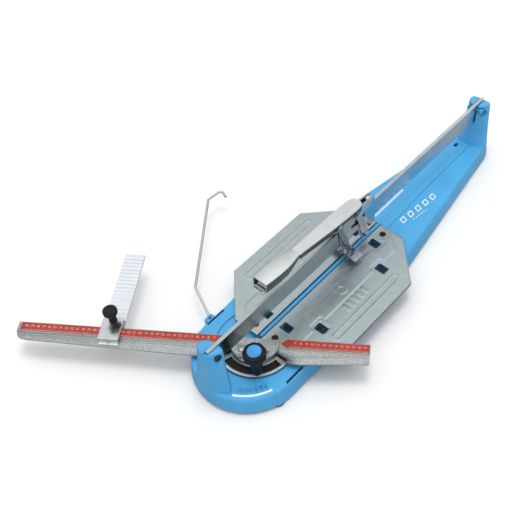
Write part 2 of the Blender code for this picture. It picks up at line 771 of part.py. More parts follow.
def build_stop(pivot, zinc, fence_grey, black):
    """The side stop: a saddle on the bar, a ribbed fence behind it and a thumb screw on top."""
    stop = make_empty("stop_axis", pivot, (STOP_CENTRE, 0, 0))
    saddle_outline = (
        (14, BAR_BOTTOM + 1), (1.2, BAR_BOTTOM + 1), (1.2, BAR_TOP + 1.2), (-19.6, BAR_TOP + 1.2),
        (-31, BAR_TOP - 3), (-31, 68), (14, 68),
    )
    saddle = as_object(
        "stop_slider", prism("X", saddle_outline, -STOP_HALF, STOP_HALF), zinc, stop
    )
    round_edges(saddle, 0.8)
    combine(saddle, "DIFFERENCE", "stop_screw_hole", cylinder("Z", (0, STOP_SCREW_Y), 3.1, 57, 75))

    fence_front = 14.3
    fence = as_object(
        "stop_fence",
        box((-STOP_HALF, fence_front, 55), (STOP_HALF + 1, fence_front + FENCE_LENGTH, 59.5)),
        fence_grey,
        stop,
    )
    grooves = [
        box((-STOP_HALF - 2, y - 0.6, 58.9), (STOP_HALF + 3, y + 0.6, 62))
        for y in (fence_front + 8 * i for i in range(1, 18))
    ]
    combine(fence, "DIFFERENCE", "fence_grooves", merged(*grooves))

    head = []
    profile = (
        (3, 58), (3, 68.3), (6.6, 68.4), (7.2, 69), (6.4, 80), (6.8, 86), (10.4, 88.4),
        (12.4, 89.6), (12.8, 91), (12.8, 96.4), (11.6, 97.8), (6, 98.4),
    )
    for radius, height in profile:
        knurl = 0.03 if radius > 11 else 0
        head.append([
            (
                radius * (1 - knurl * (i % 2)) * math.cos(math.tau * i / 40),
                STOP_SCREW_Y + radius * (1 - knurl * (i % 2)) * math.sin(math.tau * i / 40),
                height,
            )
            for i in range(40)
        ])
    as_object("stop_thumb_screw", loft(head), black, stop)


# Side arm


def build_side_arm(parent, blue, chrome):
    x, y = WIRE_PIVOT
    arm = make_empty("side_arm_axis", parent, (x, y, 0))
    corners = (
        (0, 0, 11), (0, 0, 30), (-18, 7, 36), (-57, 23, WIRE_LEVEL),
        (-194, 192, WIRE_LEVEL), (-192, 226, WIRE_LEVEL), (-172, 219, WIRE_LEVEL),
    )
    as_object("side_arm", wire(rounded_path(corners, 6), WIRE_RADIUS), chrome, arm)
    bracket = as_object(
        "side_arm_bracket", box((-5.8, -9, 13), (4.6, 9, 26)), blue, parent, (x, y, 0)
    )
    round_edges(bracket, 1.2)
    combine(bracket, "DIFFERENCE", "side_arm_socket", cylinder("Z", (0, 0), 2.75, 8, 30))


# Carriage and lever


def build_carriage(parent, zinc, steel):
    carriage = make_empty("carriage_axis", parent, (0, LEVER_PIVOT[0], LEVER_PIVOT[1]))
    pivot_y, pivot_z = LEVER_PIVOT

    def local(point):
        return (point[0] - pivot_y, point[1] - pivot_z)

    axles = {}
    for end, y in TOP_ROLLERS.items():
        axles[f"top_{end}"] = (y, RAIL_TOP + GAP + TOP_ROLLER_RADIUS, TOP_ROLLER_RADIUS)
    for end, y in LOW_ROLLERS.items():
        axles[f"low_{end}"] = (y, RAIL_BOTTOM - GAP - LOW_ROLLER_RADIUS, LOW_ROLLER_RADIUS)

    outline = (
        (221, 128), (221, 152), (226, 156.5), (262, 157), (266, 160), (274, 160), (278, 157),
        (316, 156.5), (322, 151), (324, 120), (324, 84), (320, 79.5), (308, 79.5), (304.5, 84),
        (303, 92), (290, 97), (256, 97), (247.5, 92), (246, 84), (241.5, 79.5), (231, 79.5),
        (227, 83.5), (226, 100),
    )
    for side_name, side in (("left", -1), ("right", 1)):
        low, high = sorted((side * CARRIAGE_INNER_X, side * CARRIAGE_OUTER_X))
        name = f"carriage_plate_{side_name}"
        plate = as_object(name, prism("X", [local(p) for p in outline], low, high), zinc, carriage)
        round_edges(plate, 0.4, segments=1)
        holes = [cylinder("X", local((y, z)), 2.55, low - 3, high + 3) for y, z, _ in axles.values()]
        holes.append(cylinder("X", (0, 0), 4.08, low - 3, high + 3))
        holes.append(capsule("X", local((262, 125)), local((286, 125)), 8, low - 3, high + 3))
        combine(plate, "DIFFERENCE", f"{name}_holes", merged(*holes))

    for place, (y, z, radius) in axles.items():
        roller = make_empty(f"roller_{place}_axis", carriage, (0, y - pivot_y, z - pivot_z))
        profile = ((radius - 0.7, -3.8), (radius, -3.2), (radius, 3.2), (radius - 0.7, 3.8))
        as_object(f"roller_{place}", turned("X", profile, 24, bore=2.58), steel, roller)
        pin = ((2.1, -6.6), (2.5, -6.2), (2.5, 6.2), (2.1, 6.6))
        as_object(
            f"roller_pin_{place}", turned("X", pin, 24, (y - pivot_y, z - pivot_z)), steel, carriage
        )
    return carriage


def build_lever(carriage, zinc, steel, grip_zinc):
    """The hand lever with everything that turns with it about the carriage's top pin."""
    lever = make_empty("lever_axis", carriage)
    pivot_y, pivot_z = LEVER_PIVOT

    def local(point):
        return (point[0] - pivot_y, point[1] - pivot_z)

    # The lever's own frame has -Y along the lever, tilted up from the rail.
    tilt = (-LEVER_TILT, 0, 0)
    side_outline = (
        (8, -6), (11, 0), (10, 14), (6, 18.6), (0, 20), (-200, 20), (-200, 2), (-70, 2),
        (-44, 0.5), (-24, 2), (-10, -2), (-5, -7), (2, -8),
    )
    channel = as_object(
        "handle_lever", prism("X", side_outline, -LEVER_HALF, LEVER_HALF), zinc, lever, turn=tilt
    )
    round_edges(channel, 1.6, 60)
    inside = prism(
        "X",
        ((16, -20), (16, 12), (4, 17.8), (-206, 17.8), (-206, -20)),
        -LEVER_HALF + 2,
        LEVER_HALF - 2,
    )
    combine(channel, "DIFFERENCE", "lever_inside", inside)
    turn_back = Matrix.Rotation(math.radians(LEVER_TILT), 3, "X")
    yoke_local = turn_back @ Vector((0, *local(YOKE_PIN)))
    combine(channel, "DIFFERENCE", "lever_pin_holes", merged(
        cylinder("X", (0, 0), 4.08, -20, 20),
        cylinder("X", (yoke_local.y, yoke_local.z), 3.05, -20, 20),
    ))

    sleeve = as_object(
        "handle_grip", box((-15, -246, -2), (15, -158, 22)), grip_zinc, lever, turn=tilt
    )
    round_edges(sleeve, 2.2, 60, 3)
    combine(sleeve, "DIFFERENCE", "grip_inside", box((-12.9, -260, 0.2), (12.9, -150, 20.4)))

    pin_ends = ((5.6, -15.4), (6.4, -14.6), (6.4, -12.6), (4, -12.6), (4, 12.6), (6.4, 12.6),
                (6.4, 14.6), (5.6, 15.4))
    as_object("handle_pin", turned("X", pin_ends, 24), steel, lever)
    yoke_pin_ends = ((4, -14), (4.6, -13.4), (4.6, -12.6), (3, -12.6), (3, 12.6), (4.6, 12.6),
                     (4.6, 13.4), (4, 14))
    as_object("breaker_pin", turned("X", yoke_pin_ends, 24, local(YOKE_PIN)), steel, lever)

    wings = prism(
        "Y",
        (
            (-32, 60.6 - pivot_z), (-8, 64 - pivot_z), (8, 64 - pivot_z), (32, 60.6 - pivot_z),
            (32, 63.4 - pivot_z), (8, 67 - pivot_z), (-8, 67 - pivot_z), (-32, 63.4 - pivot_z),
        ),
        235 - pivot_y,
        257 - pivot_y,
    )
    yoke = as_object("breaker_yoke", wings, zinc, lever)
    low, high = ARM_LAYER
    legs = []
    for side in (-1, 1):
        first, last = sorted((side * low, side * high))
        legs.append(capsule("X", local(YOKE_PIN), local((247, 68)), 5.2, first, last))
    combine(yoke, "UNION", "breaker_legs", merged(*legs))
    combine(yoke, "UNION", "breaker_hub", cylinder("X", local(YOKE_PIN), 6, -high, high))
    combine(yoke, "DIFFERENCE", "breaker_bore", cylinder("X", local(YOKE_PIN), 3.05, -20, 20))

    for side_name, side in (("left", -1), ("right", 1)):
        first, last = sorted((side * low, side * high))
        arm = as_object(
            f"wheel_arm_{side_name}",
            capsule("X", (0, 0), local(WHEEL_AXLE), 6.8, first, last),
            zinc,
            lever,
        )
        combine(arm, "DIFFERENCE", f"wheel_arm_holes_{side_name}", merged(
            cylinder("X", (0, 0), 4.08, first - 3, last + 3),
            cylinder("X", local(WHEEL_AXLE), 2.04, first - 3, last + 3),
        ))

    axle_y, axle_z = local(WHEEL_AXLE)
    axle_ends = ((3.4, -11.6), (4, -11), (4, -10.1), (2, -10.1), (2, 10.1), (4, 10.1), (4, 11),
                 (3.4, 11.6))
    as_object("wheel_axle", turned("X", axle_ends, 24, (axle_y, axle_z)), steel, lever)
    wheel = make_empty("scoring_wheel_axis", lever, (0, axle_y, axle_z))
    edge = ((4, -6), (4, -1.4), (8.5, -1.4), (WHEEL_RADIUS, -0.15), (WHEEL_RADIUS, 0.15),
            (8.5, 1.4), (4, 1.4), (4, 6))
    as_object("scoring_wheel", turned("X", edge, 32, bore=2.08), steel, wheel)


def build_machine():
    blue = make_material("blue_paint", (0.09, 0.42, 0.72), 0.38, 0.0)
    blue_plastic = make_material("blue_plastic", (0.10, 0.40, 0.70), 0.45, 0.0)
    galvanised = make_material("galvanised_sheet", (0.52, 0.56, 0.56), 0.36, 1.0)
    steel = make_material("bright_steel", (0.62, 0.63, 0.64), 0.28, 1.0)
    rail_steel = make_material("rail_steel", (0.56, 0.58, 0.59), 0.33, 1.0)
    zinc = make_material("zinc_plated", (0.70, 0.71, 0.72), 0.25, 1.0)
    grip_zinc = make_material("grip_sheet", (0.72, 0.73, 0.73), 0.34, 1.0)
    aluminium = make_material("cast_aluminium", (0.60, 0.61, 0.60), 0.42, 1.0)
    red = make_material("red_scale", (0.52, 0.05, 0.035), 0.40, 0.0)
    black = make_material("black_plastic", (0.018, 0.019, 0.021), 0.45, 0.0)
    black_steel = make_material("black_steel", (0.03, 0.03, 0.032), 0.40, 1.0)
    rubber = make_material("foot_rubber", (0.02, 0.02, 0.02), 0.80, 0.0)
    brass = make_material("brass", (0.62, 0.44, 0.19), 0.35, 1.0)
    chrome = make_material("wire_plating", (0.66, 0.67, 0.67), 0.22, 1.0)
    fence_grey = make_material("fence_grey", (0.62, 0.64, 0.65), 0.42, 0.0)
    label_white = make_material("label_white", (0.75, 0.78, 0.80), 0.45, 0.0)

    machine = make_empty("machine", None, (CENTRE_X, CENTRE_Y, 0))
    build_base(machine, blue)
    build_feet(machine, rubber)
    front_post(machine, blue)
    rear_post(machine, blue)
    build_rail(machine, rail_steel, black_steel)
    build_deck_strip(machine, label_white)

    for side_name, side in (("left", -1), ("right", 1)):
        group = make_empty(f"plate_{side_name}_axis", machine)
        build_plate(f"plate_{side_name}", side, group, galvanised)
        build_plate_fittings(side_name, side, group, machine, brass, black_steel, steel)

    pivot = make_empty("bar_axis", machine, turn_z=BAR_ANGLE)
    build_bar(pivot, aluminium)
    build_scales(pivot, red)
    build_quadrant(pivot, aluminium, steel)
    build_stop(pivot, grip_zinc, fence_grey, black)
    build_knob(machine, black, blue_plastic, steel)
    build_side_arm(machine, blue, chrome)
    carriage = build_carriage(machine, zinc, steel)
    build_lever(carriage, zinc, steel, grip_zinc)


clear_scene()
build_machine()
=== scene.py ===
"""Looks of the tile cutter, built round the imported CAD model.

A CAD piece whose shape is right keeps it and gets a procedural material. Stamped, cast, folded and
printed pieces are built here in finer shape. Lengths are in millimetres about the pivot of the
measuring bar, with X across the machine, Y along the rail and Z up.
"""

import json
import math

import bmesh
import bpy
from mathutils import Matrix, Vector


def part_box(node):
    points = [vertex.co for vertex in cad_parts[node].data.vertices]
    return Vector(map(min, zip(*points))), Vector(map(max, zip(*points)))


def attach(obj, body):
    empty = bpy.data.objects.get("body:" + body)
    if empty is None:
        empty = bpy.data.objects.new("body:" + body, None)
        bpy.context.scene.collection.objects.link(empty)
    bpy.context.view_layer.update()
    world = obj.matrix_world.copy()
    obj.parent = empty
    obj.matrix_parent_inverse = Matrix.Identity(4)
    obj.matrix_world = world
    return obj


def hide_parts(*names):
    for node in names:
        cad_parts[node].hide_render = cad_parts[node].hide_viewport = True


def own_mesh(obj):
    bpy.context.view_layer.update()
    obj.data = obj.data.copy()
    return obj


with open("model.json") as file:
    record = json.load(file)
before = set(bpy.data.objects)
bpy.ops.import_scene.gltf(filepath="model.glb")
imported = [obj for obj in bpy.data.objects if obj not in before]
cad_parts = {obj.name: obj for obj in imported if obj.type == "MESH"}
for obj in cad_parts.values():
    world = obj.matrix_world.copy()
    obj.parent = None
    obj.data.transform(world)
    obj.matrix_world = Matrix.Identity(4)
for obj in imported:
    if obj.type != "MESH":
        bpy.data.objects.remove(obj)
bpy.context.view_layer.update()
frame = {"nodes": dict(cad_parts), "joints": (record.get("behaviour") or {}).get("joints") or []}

MM = 0.001
NODES = frame["nodes"]
JOINTS = {joint["name"]: joint for joint in frame["joints"]}
PIVOT = Vector(JOINTS["bar_pivot"]["pos_m"])
BAR_DIRECTION = Vector(JOINTS["stop_slide"]["axis"])
BAR_TURN = math.atan2(BAR_DIRECTION.y, BAR_DIRECTION.x)
ENDS = ("front", "rear")
SIDES = {"left": -1, "right": 1}
NOSE_Y = -20
BAR_BOTTOM = 51
BAR_TOP = 59
BAR_LABEL_DEPTH = 19
BAR_LEFT = -416
BAR_RIGHT = 199
SCALE_FRONT_Y = -18
SECTOR_HALF_ANGLE = 58
STOP_X = -250
PLATE_TOP = 50
SHEET_THICKNESS = 1.3


def node_box(name):
    """The low and high corner of a CAD node, in millimetres about the bar's pivot."""
    origin = Vector((PIVOT.x, PIVOT.y, 0))
    return [(corner - origin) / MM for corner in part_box(name)]


# Shapes


def link(name, mesh, material, body, turn=0.0, sharp=32):
    """Turns a bmesh drawn in millimetres into a piece that rides on a body."""
    bmesh.ops.recalc_face_normals(mesh, faces=mesh.faces)
    bmesh.ops.scale(mesh, vec=(MM, MM, MM), verts=mesh.verts)
    data = bpy.data.meshes.new(name)
    mesh.to_mesh(data)
    mesh.free()
    data.shade_smooth()
    data.set_sharp_from_angle(angle=math.radians(sharp))
    obj = bpy.data.objects.new(name, data)
    bpy.context.scene.collection.objects.link(obj)
    obj.location = (PIVOT.x, PIVOT.y, 0)
    obj.rotation_euler.z = turn
    if material:
        data.materials.append(material)
    if body:
        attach(obj, body)
    return obj


def cut(obj, *cutters):
    """Cuts closed shapes, drawn in the piece's own frame, out of it."""
    made = []
    for cutter in cutters:
        helper = link("cutter", cutter, None, None)
        helper.matrix_world = obj.matrix_world
        modifier = obj.modifiers.new("cut", "BOOLEAN")
        modifier.operation = "DIFFERENCE"
        modifier.solver = "EXACT"
        modifier.object = helper
        made.append(helper)
    settle(obj)
    for helper in made:
        data = helper.data
        bpy.data.objects.remove(helper)
        bpy.data.meshes.remove(data)


def settle(obj):
    """Replaces a piece's mesh by what its modifiers make of it."""
    bpy.context.view_layer.update()
    graph = bpy.context.evaluated_depsgraph_get()
    data = bpy.data.meshes.new_from_object(obj.evaluated_get(graph))
    obj.modifiers.clear()
    obj.data = data


def round_edges(obj, width, angle=40, segments=3):
    """Rounds every edge that turns by more than an angle."""
    bevel = obj.modifiers.new("round", "BEVEL")
    bevel.width = width * MM
    bevel.segments = segments
    bevel.limit_method = "ANGLE"
    bevel.angle_limit = math.radians(angle)
    bevel.harden_normals = True


def placed(axis, across, along):
    """A point from two coordinates across an axis and one along it."""
    first, second = across
    return {
        "X": (along, first, second),
        "Y": (first, along, second),
        "Z": (first, second, along),
    }[axis]


def loft(rings, close=True):
    """A skin through rings of points, with its first and last ring filled if it closes."""
    mesh = bmesh.new()
    layers = [[mesh.verts.new(point) for point in ring] for ring in rings]
    count = len(layers[0])
    for below, above in zip(layers, layers[1:]):
        for i in range(count):
            j = (i + 1) % count
            mesh.faces.new((below[i], below[j], above[j], above[i]))
    if close:
        mesh.faces.new(layers[0])
        mesh.faces.new(layers[-1])
    return mesh


def prism(axis, outline, low, high):
    """An outline drawn straight along an axis."""
    return loft([[placed(axis, point, end) for point in outline] for end in (low, high)])


def box(low, high):
    (x0, y0, z0), (x1, y1, z1) = low, high
    return prism("Z", ((x0, y0), (x1, y0), (x1, y1), (x0, y1)), z0, z1)


def join(meshes):
    """One mesh that holds several, which it uses up."""
    whole = bmesh.new()
    for mesh in meshes:
        data = bpy.data.meshes.new("part")
        mesh.to_mesh(data)
        mesh.free()
        whole.from_mesh(data)
        bpy.data.meshes.remove(data)
    return whole


def circle(radius, steps, centre=(0, 0)):
    return [
        (
            centre[0] + radius * math.cos(math.tau * i / steps),
            centre[1] + radius * math.sin(math.tau * i / steps),
        )
        for i in range(steps)
    ]


def turned(axis, profile, steps=48, centre=(0, 0)):
    """A solid of revolution from (radius, height) pairs."""
    return loft(
        [
            [placed(axis, point, height) for point in circle(radius, steps, centre)]
            for radius, height in profile
        ]
    )


def polar(radius, degrees):
    """A point about the pivot, its angle measured from -Y towards +X."""
    angle = math.radians(degrees)
    return (radius * math.sin(angle), -radius * math.cos(angle))


def ring_sector(inner, outer, first, last, low, high, steps=64):
    """An upright slice of a ring about the pivot, between two angles in degrees."""
    angles = [first + (last - first) * i / steps for i in range(steps + 1)]
    outline = [polar(outer, angle) for angle in angles]
    outline += [polar(inner, angle) for angle in reversed(angles)]
    return prism("Z", outline, low, high)


def rounded_box(centre, half, corner, low, high):
    """An upright prism with a rectangular plan and round corners."""
    outline = []
    for quarter, (right, up) in enumerate(((1, 1), (-1, 1), (-1, -1), (1, -1))):
        middle_x = centre[0] + right * (half[0] - corner)
        middle_y = centre[1] + up * (half[1] - corner)
        for i in range(5):
            angle = math.pi / 2 * quarter + math.pi / 8 * i
            outline.append(
                (middle_x + corner * math.cos(angle), middle_y + corner * math.sin(angle))
            )
    return prism("Z", outline, low, high)


def softened(outline, rounds=2):
    """An outline with its corners cut again and again, so that it turns smoothly."""
    for _ in range(rounds):
        cut_outline = []
        for (x0, y0), (x1, y1) in zip(outline, outline[1:] + outline[:1]):
            cut_outline.append((x0 * 0.75 + x1 * 0.25, y0 * 0.75 + y1 * 0.25))
            cut_outline.append((x0 * 0.25 + x1 * 0.75, y0 * 0.25 + y1 * 0.75))
        outline = cut_outline
    return outline


# Materials


class Finish:
    """A Principled material, with short helpers that add and link its nodes."""

    def __init__(self, name, colour, roughness, metallic=0.0, **sockets):
        self.material = bpy.data.materials.new(name)
        self.material.use_nodes = True
        self.tree = self.material.node_tree
        self.shader = self.tree.nodes["Principled BSDF"]
        self.base = colour
        self.shader.inputs["Base Color"].default_value = (*colour, 1)
        self.shader.inputs["Roughness"].default_value = roughness
        self.shader.inputs["Metallic"].default_value = metallic
        for socket, value in sockets.items():
            self.shader.inputs[socket.replace("_", " ")].default_value = value
        self.coords = self.add("ShaderNodeTexCoord").outputs["Object"]

    def add(self, kind, **settings):
        node = self.tree.nodes.new(kind)
        for setting, value in settings.items():
            setattr(node, setting, value)
        return node

    def feed(self, socket, value):
        if isinstance(value, bpy.types.NodeSocket):
            self.tree.links.new(value, socket)
        elif isinstance(value, tuple) and len(value) == 3:
            socket.default_value = (*value, 1)
        else:
            socket.default_value = value

    def stretched(self, stretch, turn=0.0):
        mapping = self.add("ShaderNodeMapping", vector_type="TEXTURE")
        self.feed(mapping.inputs["Vector"], self.coords)
        mapping.inputs["Scale"].default_value = stretch
        mapping.inputs["Rotation"].default_value = (0, 0, turn)
        return mapping.outputs["Vector"]

    def noise(self, scale, detail=3.0, stretch=None, turn=0.0, rough=0.55):
        node = self.add("ShaderNodeTexNoise")
        self.feed(node.inputs["Vector"], self.stretched(stretch, turn) if stretch else self.coords)
        node.inputs["Scale"].default_value = scale
        node.inputs["Detail"].default_value = detail
        node.inputs["Roughness"].default_value = rough
        return node.outputs["Fac"]

    def cells(self, scale):
        node = self.add("ShaderNodeTexVoronoi", feature="F1")
        self.feed(node.inputs["Vector"], self.coords)
        node.inputs["Scale"].default_value = scale
        return node.outputs["Color"]

    def range(self, value, low, high, to_low=0.0, to_high=1.0):
        node = self.add("ShaderNodeMapRange")
        self.feed(node.inputs["Value"], value)
        for socket, number in zip(("From Min", "From Max", "To Min", "To Max"),
                                  (low, high, to_low, to_high)):
            node.inputs[socket].default_value = number
        return node.outputs["Result"]

    def maths(self, operation, first, second=0.0):
        node = self.add("ShaderNodeMath", operation=operation)
        self.feed(node.inputs[0], first)
        self.feed(node.inputs[1], second)
        return node.outputs["Value"]

    def mix(self, share, first, second, blend="MIX"):
        node = self.add("ShaderNodeMix", data_type="RGBA", blend_type=blend)
        self.feed(node.inputs[0], share)
        self.feed(node.inputs[6], first)
        self.feed(node.inputs[7], second)
        return node.outputs[2]

    def edges(self, radius):
        """One along sharp edges and nought on the flat, within a radius in metres."""
        bevel = self.add("ShaderNodeBevel", samples=4)
        bevel.inputs["Radius"].default_value = radius
        geometry = self.add("ShaderNodeNewGeometry")
        dot = self.add("ShaderNodeVectorMath", operation="DOT_PRODUCT")
        self.feed(dot.inputs[0], bevel.outputs["Normal"])
        self.feed(dot.inputs[1], geometry.outputs["Normal"])
        return self.range(dot.outputs["Value"], 0.99, 0.72)

    def painted_corner_shade(self, distance):
        """One in corners and crevices and nought in the open: the mask by which the finishes paint
        in shade.
        """
        occlusion = self.add("ShaderNodeAmbientOcclusion", samples=4)
        occlusion.inputs["Distance"].default_value = distance
        return self.range(occlusion.outputs["AO"], 0.85, 0.25)

    def bump(self, height, strength, distance, under=None):
        node = self.add("ShaderNodeBump")
        node.inputs["Strength"].default_value = strength
        node.inputs["Distance"].default_value = distance
        self.feed(node.inputs["Height"], height)
        if under:
            self.feed(node.inputs["Normal"], under)
        return node.outputs["Normal"]

    def finish(self, colour=None, roughness=None, normal=None):
        for socket, value in (("Base Color", colour), ("Roughness", roughness), ("Normal", normal)):
            if value is not None:
                self.feed(self.shader.inputs[socket], value)
        return self.material


def scaled(colour, factor):
    return tuple(channel * factor for channel in colour)


def blue_enamel():
    """Stove enamel on a casting: a faint orange peel, worn pale edges and painted shade in the
    corners.
    """
    f = Finish("blue_enamel", (0.062, 0.345, 0.650), 0.40, Coat_Weight=0.12,
               Coat_Roughness=0.2, Specular_IOR_Level=0.35)
    cloud = f.range(f.noise(9, 4), 0.35, 0.65)
    colour = f.mix(cloud, scaled(f.base, 0.93), scaled(f.base, 1.07))
    # Painted shade: the enamel is darkened in corners and crevices.
    colour = f.mix(f.maths("MULTIPLY", f.painted_corner_shade(0.009), 0.45), colour, scaled(f.base, 0.42))
    edge = f.maths("MULTIPLY", f.edges(0.0011), f.range(f.noise(160, 3), 0.42, 0.62))
    colour = f.mix(f.maths("MULTIPLY", edge, 0.55), colour, (0.34, 0.62, 0.86))
    speck = f.range(f.noise(1400, 1), 0.70, 0.78)
    colour = f.mix(f.maths("MULTIPLY", speck, 0.35), colour, scaled(f.base, 0.55))
    roughness = f.range(f.noise(34, 4), 0.3, 0.7, 0.27, 0.42)
    peel = f.bump(f.noise(1100, 2), 0.10, 0.0002)
    normal = f.bump(f.noise(55, 3), 0.10, 0.0010, peel)
    return f.finish(colour, roughness, normal)


def galvanised_sheet():
    """Galvanised sheet: crystals of differing brightness, rolling lines and a thin oil film."""
    f = Finish("galvanised_sheet", (0.41, 0.475, 0.475), 0.36, 1.0)
    crystal = f.add("ShaderNodeSeparateColor")
    f.feed(crystal.inputs[0], f.cells(125))
    grain = crystal.outputs[0]
    colour = f.mix(grain, scaled(f.base, 0.94), scaled(f.base, 1.06))
    film = f.range(f.noise(13, 2, (1, 3, 1)), 0.46, 0.66)
    colour = f.mix(f.maths("MULTIPLY", film, 0.22), colour, (0.36, 0.40, 0.58))
    # Painted shade: the sheet is darkened in corners and crevices.
    colour = f.mix(f.maths("MULTIPLY", f.painted_corner_shade(0.004), 0.5), colour, scaled(f.base, 0.35))
    rolled = f.noise(620, 2, (1, 28, 1))
    roughness = f.maths("ADD", f.range(grain, 0, 1, 0.34, 0.42), f.range(rolled, 0.3, 0.7, 0, 0.06))
    fine = f.bump(rolled, 0.08, 0.00005)
    normal = f.bump(f.noise(30, 1), 0.05, 0.0006, fine)
    return f.finish(colour, roughness, normal)


def drawn_steel(name, colour, roughness, streak=(1, 40, 1), marks=0.3):
    """Bright steel with fine lines along its length, faint stains and polished edges."""
    f = Finish(name, colour, roughness, 1.0)
    lines = f.noise(900, 3, streak)
    tone = f.mix(f.range(lines, 0.3, 0.7), scaled(colour, 0.88), scaled(colour, 1.08))
    stain = f.maths("MULTIPLY", f.range(f.noise(30, 5), 0.5, 0.72), marks)
    tone = f.mix(stain, tone, (colour[0] * 0.62, colour[1] * 0.60, colour[2] * 0.55))
    tone = f.mix(f.maths("MULTIPLY", f.edges(0.0006), 0.6), tone, (0.86, 0.87, 0.88))
    # Painted shade: the steel is darkened in corners and crevices.
    tone = f.mix(f.maths("MULTIPLY", f.painted_corner_shade(0.004), 0.5), tone, scaled(colour, 0.30))
    rough = f.maths("ADD", f.range(lines, 0.3, 0.7, -0.06, 0.06),
                    f.range(f.noise(26, 4), 0.3, 0.7, roughness - 0.05, roughness + 0.07))
    normal = f.bump(lines, 0.12, 0.00005)
    return f.finish(tone, rough, f.bump(f.noise(70, 2), 0.06, 0.0006, normal))


def rail_steel():
    """The rail's flat bar: darker in front and brighter towards the rear."""
    f = Finish("rail_steel", (0.42, 0.475, 0.51), 0.24, 1.0)
    axes = f.add("ShaderNodeSeparateXYZ")
    f.feed(axes.inputs[0], f.coords)
    along = f.range(axes.outputs["Y"], 0.02, 0.42)
    lines = f.noise(900, 3, (1, 40, 1))
    tone = f.mix(along, f.base, (0.74, 0.80, 0.85))
    tone = f.mix(f.range(lines, 0.3, 0.7, 0, 0.16), tone, (0.20, 0.22, 0.24))
    stain = f.maths("MULTIPLY", f.range(f.noise(30, 5), 0.5, 0.72), 0.25)
    tone = f.mix(stain, tone, scaled(f.base, 0.60))
    tone = f.mix(f.maths("MULTIPLY", f.edges(0.0008), 0.7), tone, (0.90, 0.93, 0.95))
    # Painted shade: the rail is darkened in corners and crevices.
    tone = f.mix(f.maths("MULTIPLY", f.painted_corner_shade(0.004), 0.5), tone, scaled(f.base, 0.30))
    rough = f.range(f.noise(26, 4), 0.3, 0.7, 0.19, 0.31)
    normal = f.bump(lines, 0.12, 0.00005)
    return f.finish(tone, rough, f.bump(f.noise(70, 2), 0.06, 0.0006, normal))


def bright_zinc(name, colour, roughness):
    """Zinc plate: mirror-like in patches, with a faint yellow and blue passivation."""
    f = Finish(name, colour, roughness, 1.0)
    tint = f.noise(38, 3)
    tone = f.mix(f.range(tint, 0.52, 0.70, 0, 0.20), colour, (0.66, 0.61, 0.50))
    tone = f.mix(f.range(tint, 0.46, 0.30, 0, 0.25), tone, (0.50, 0.58, 0.68))
    # Painted shade: the zinc is darkened in corners and crevices.
    tone = f.mix(f.maths("MULTIPLY", f.painted_corner_shade(0.005), 0.6), tone, scaled(colour, 0.22))
    tone = f.mix(f.maths("MULTIPLY", f.edges(0.0006), 0.5), tone, (0.88, 0.89, 0.90))
    rough = f.range(f.noise(85, 4), 0.3, 0.7, roughness - 0.06, roughness + 0.12)
    normal = f.bump(f.noise(140, 2), 0.05, 0.0004)
    return f.finish(tone, rough, normal)


def satin_zinc():
    """The grip's duller sheet, brushed along the lever and rubbed by hands."""
    f = Finish("satin_zinc", (0.74, 0.765, 0.775), 0.40, 1.0)
    lines = f.noise(700, 3, (1, 26, 1))
    tone = f.mix(f.range(lines, 0.3, 0.7), scaled(f.base, 0.93), scaled(f.base, 1.05))
    tone = f.mix(f.range(f.noise(17, 3), 0.5, 0.7, 0, 0.3), tone, (0.60, 0.60, 0.59))
    # Painted shade: the sheet is darkened in corners and crevices.
    tone = f.mix(f.maths("MULTIPLY", f.painted_corner_shade(0.006), 0.5), tone, scaled(f.base, 0.3))
    rough = f.range(f.noise(24, 4), 0.3, 0.7, 0.33, 0.50)
    normal = f.bump(lines, 0.10, 0.00006)
    return f.finish(tone, rough, f.bump(f.noise(90, 2), 0.08, 0.0005, normal))


def cast_aluminium():
    """Pressure-cast aluminium, tumbled: a coarse matte grain with shiny high spots."""
    f = Finish("cast_aluminium", (0.46, 0.48, 0.475), 0.5, 1.0)
    grain = f.noise(430, 4, rough=0.7)
    tone = f.mix(f.range(grain, 0.36, 0.64), scaled(f.base, 0.70), scaled(f.base, 1.16))
    tone = f.mix(f.range(f.noise(24, 3), 0.48, 0.70, 0, 0.45), tone, (0.34, 0.38, 0.42))
    tone = f.mix(f.maths("MULTIPLY", f.edges(0.0008), 0.55), tone, (0.84, 0.85, 0.85))
    # Painted shade: the casting is darkened in corners and crevices.
    tone = f.mix(f.maths("MULTIPLY", f.painted_corner_shade(0.004), 0.55), tone, scaled(f.base, 0.25))
    rough = f.range(grain, 0.35, 0.65, 0.62, 0.46)
    normal = f.bump(grain, 0.6, 0.0005)
    return f.finish(tone, rough, f.bump(f.noise(60, 2), 0.08, 0.0010, normal))


def red_anodised():
    """The scale's red anodised strip, rubbed pale in places."""
    f = Finish("red_anodised", (0.36, 0.036, 0.024), 0.40, 0.25)
    tone = f.mix(f.range(f.noise(60, 4), 0.35, 0.65), scaled(f.base, 0.86), scaled(f.base, 1.12))
    rub = f.maths("MULTIPLY", f.range(f.noise(260, 5, (6, 1, 1), BAR_TURN), 0.60, 0.74), 0.4)
    tone = f.mix(rub, tone, (0.60, 0.26, 0.20))
    rough = f.range(f.noise(120, 3), 0.3, 0.7, 0.28, 0.46)
    return f.finish(tone, rough, f.bump(f.noise(900, 2), 0.05, 0.0001))


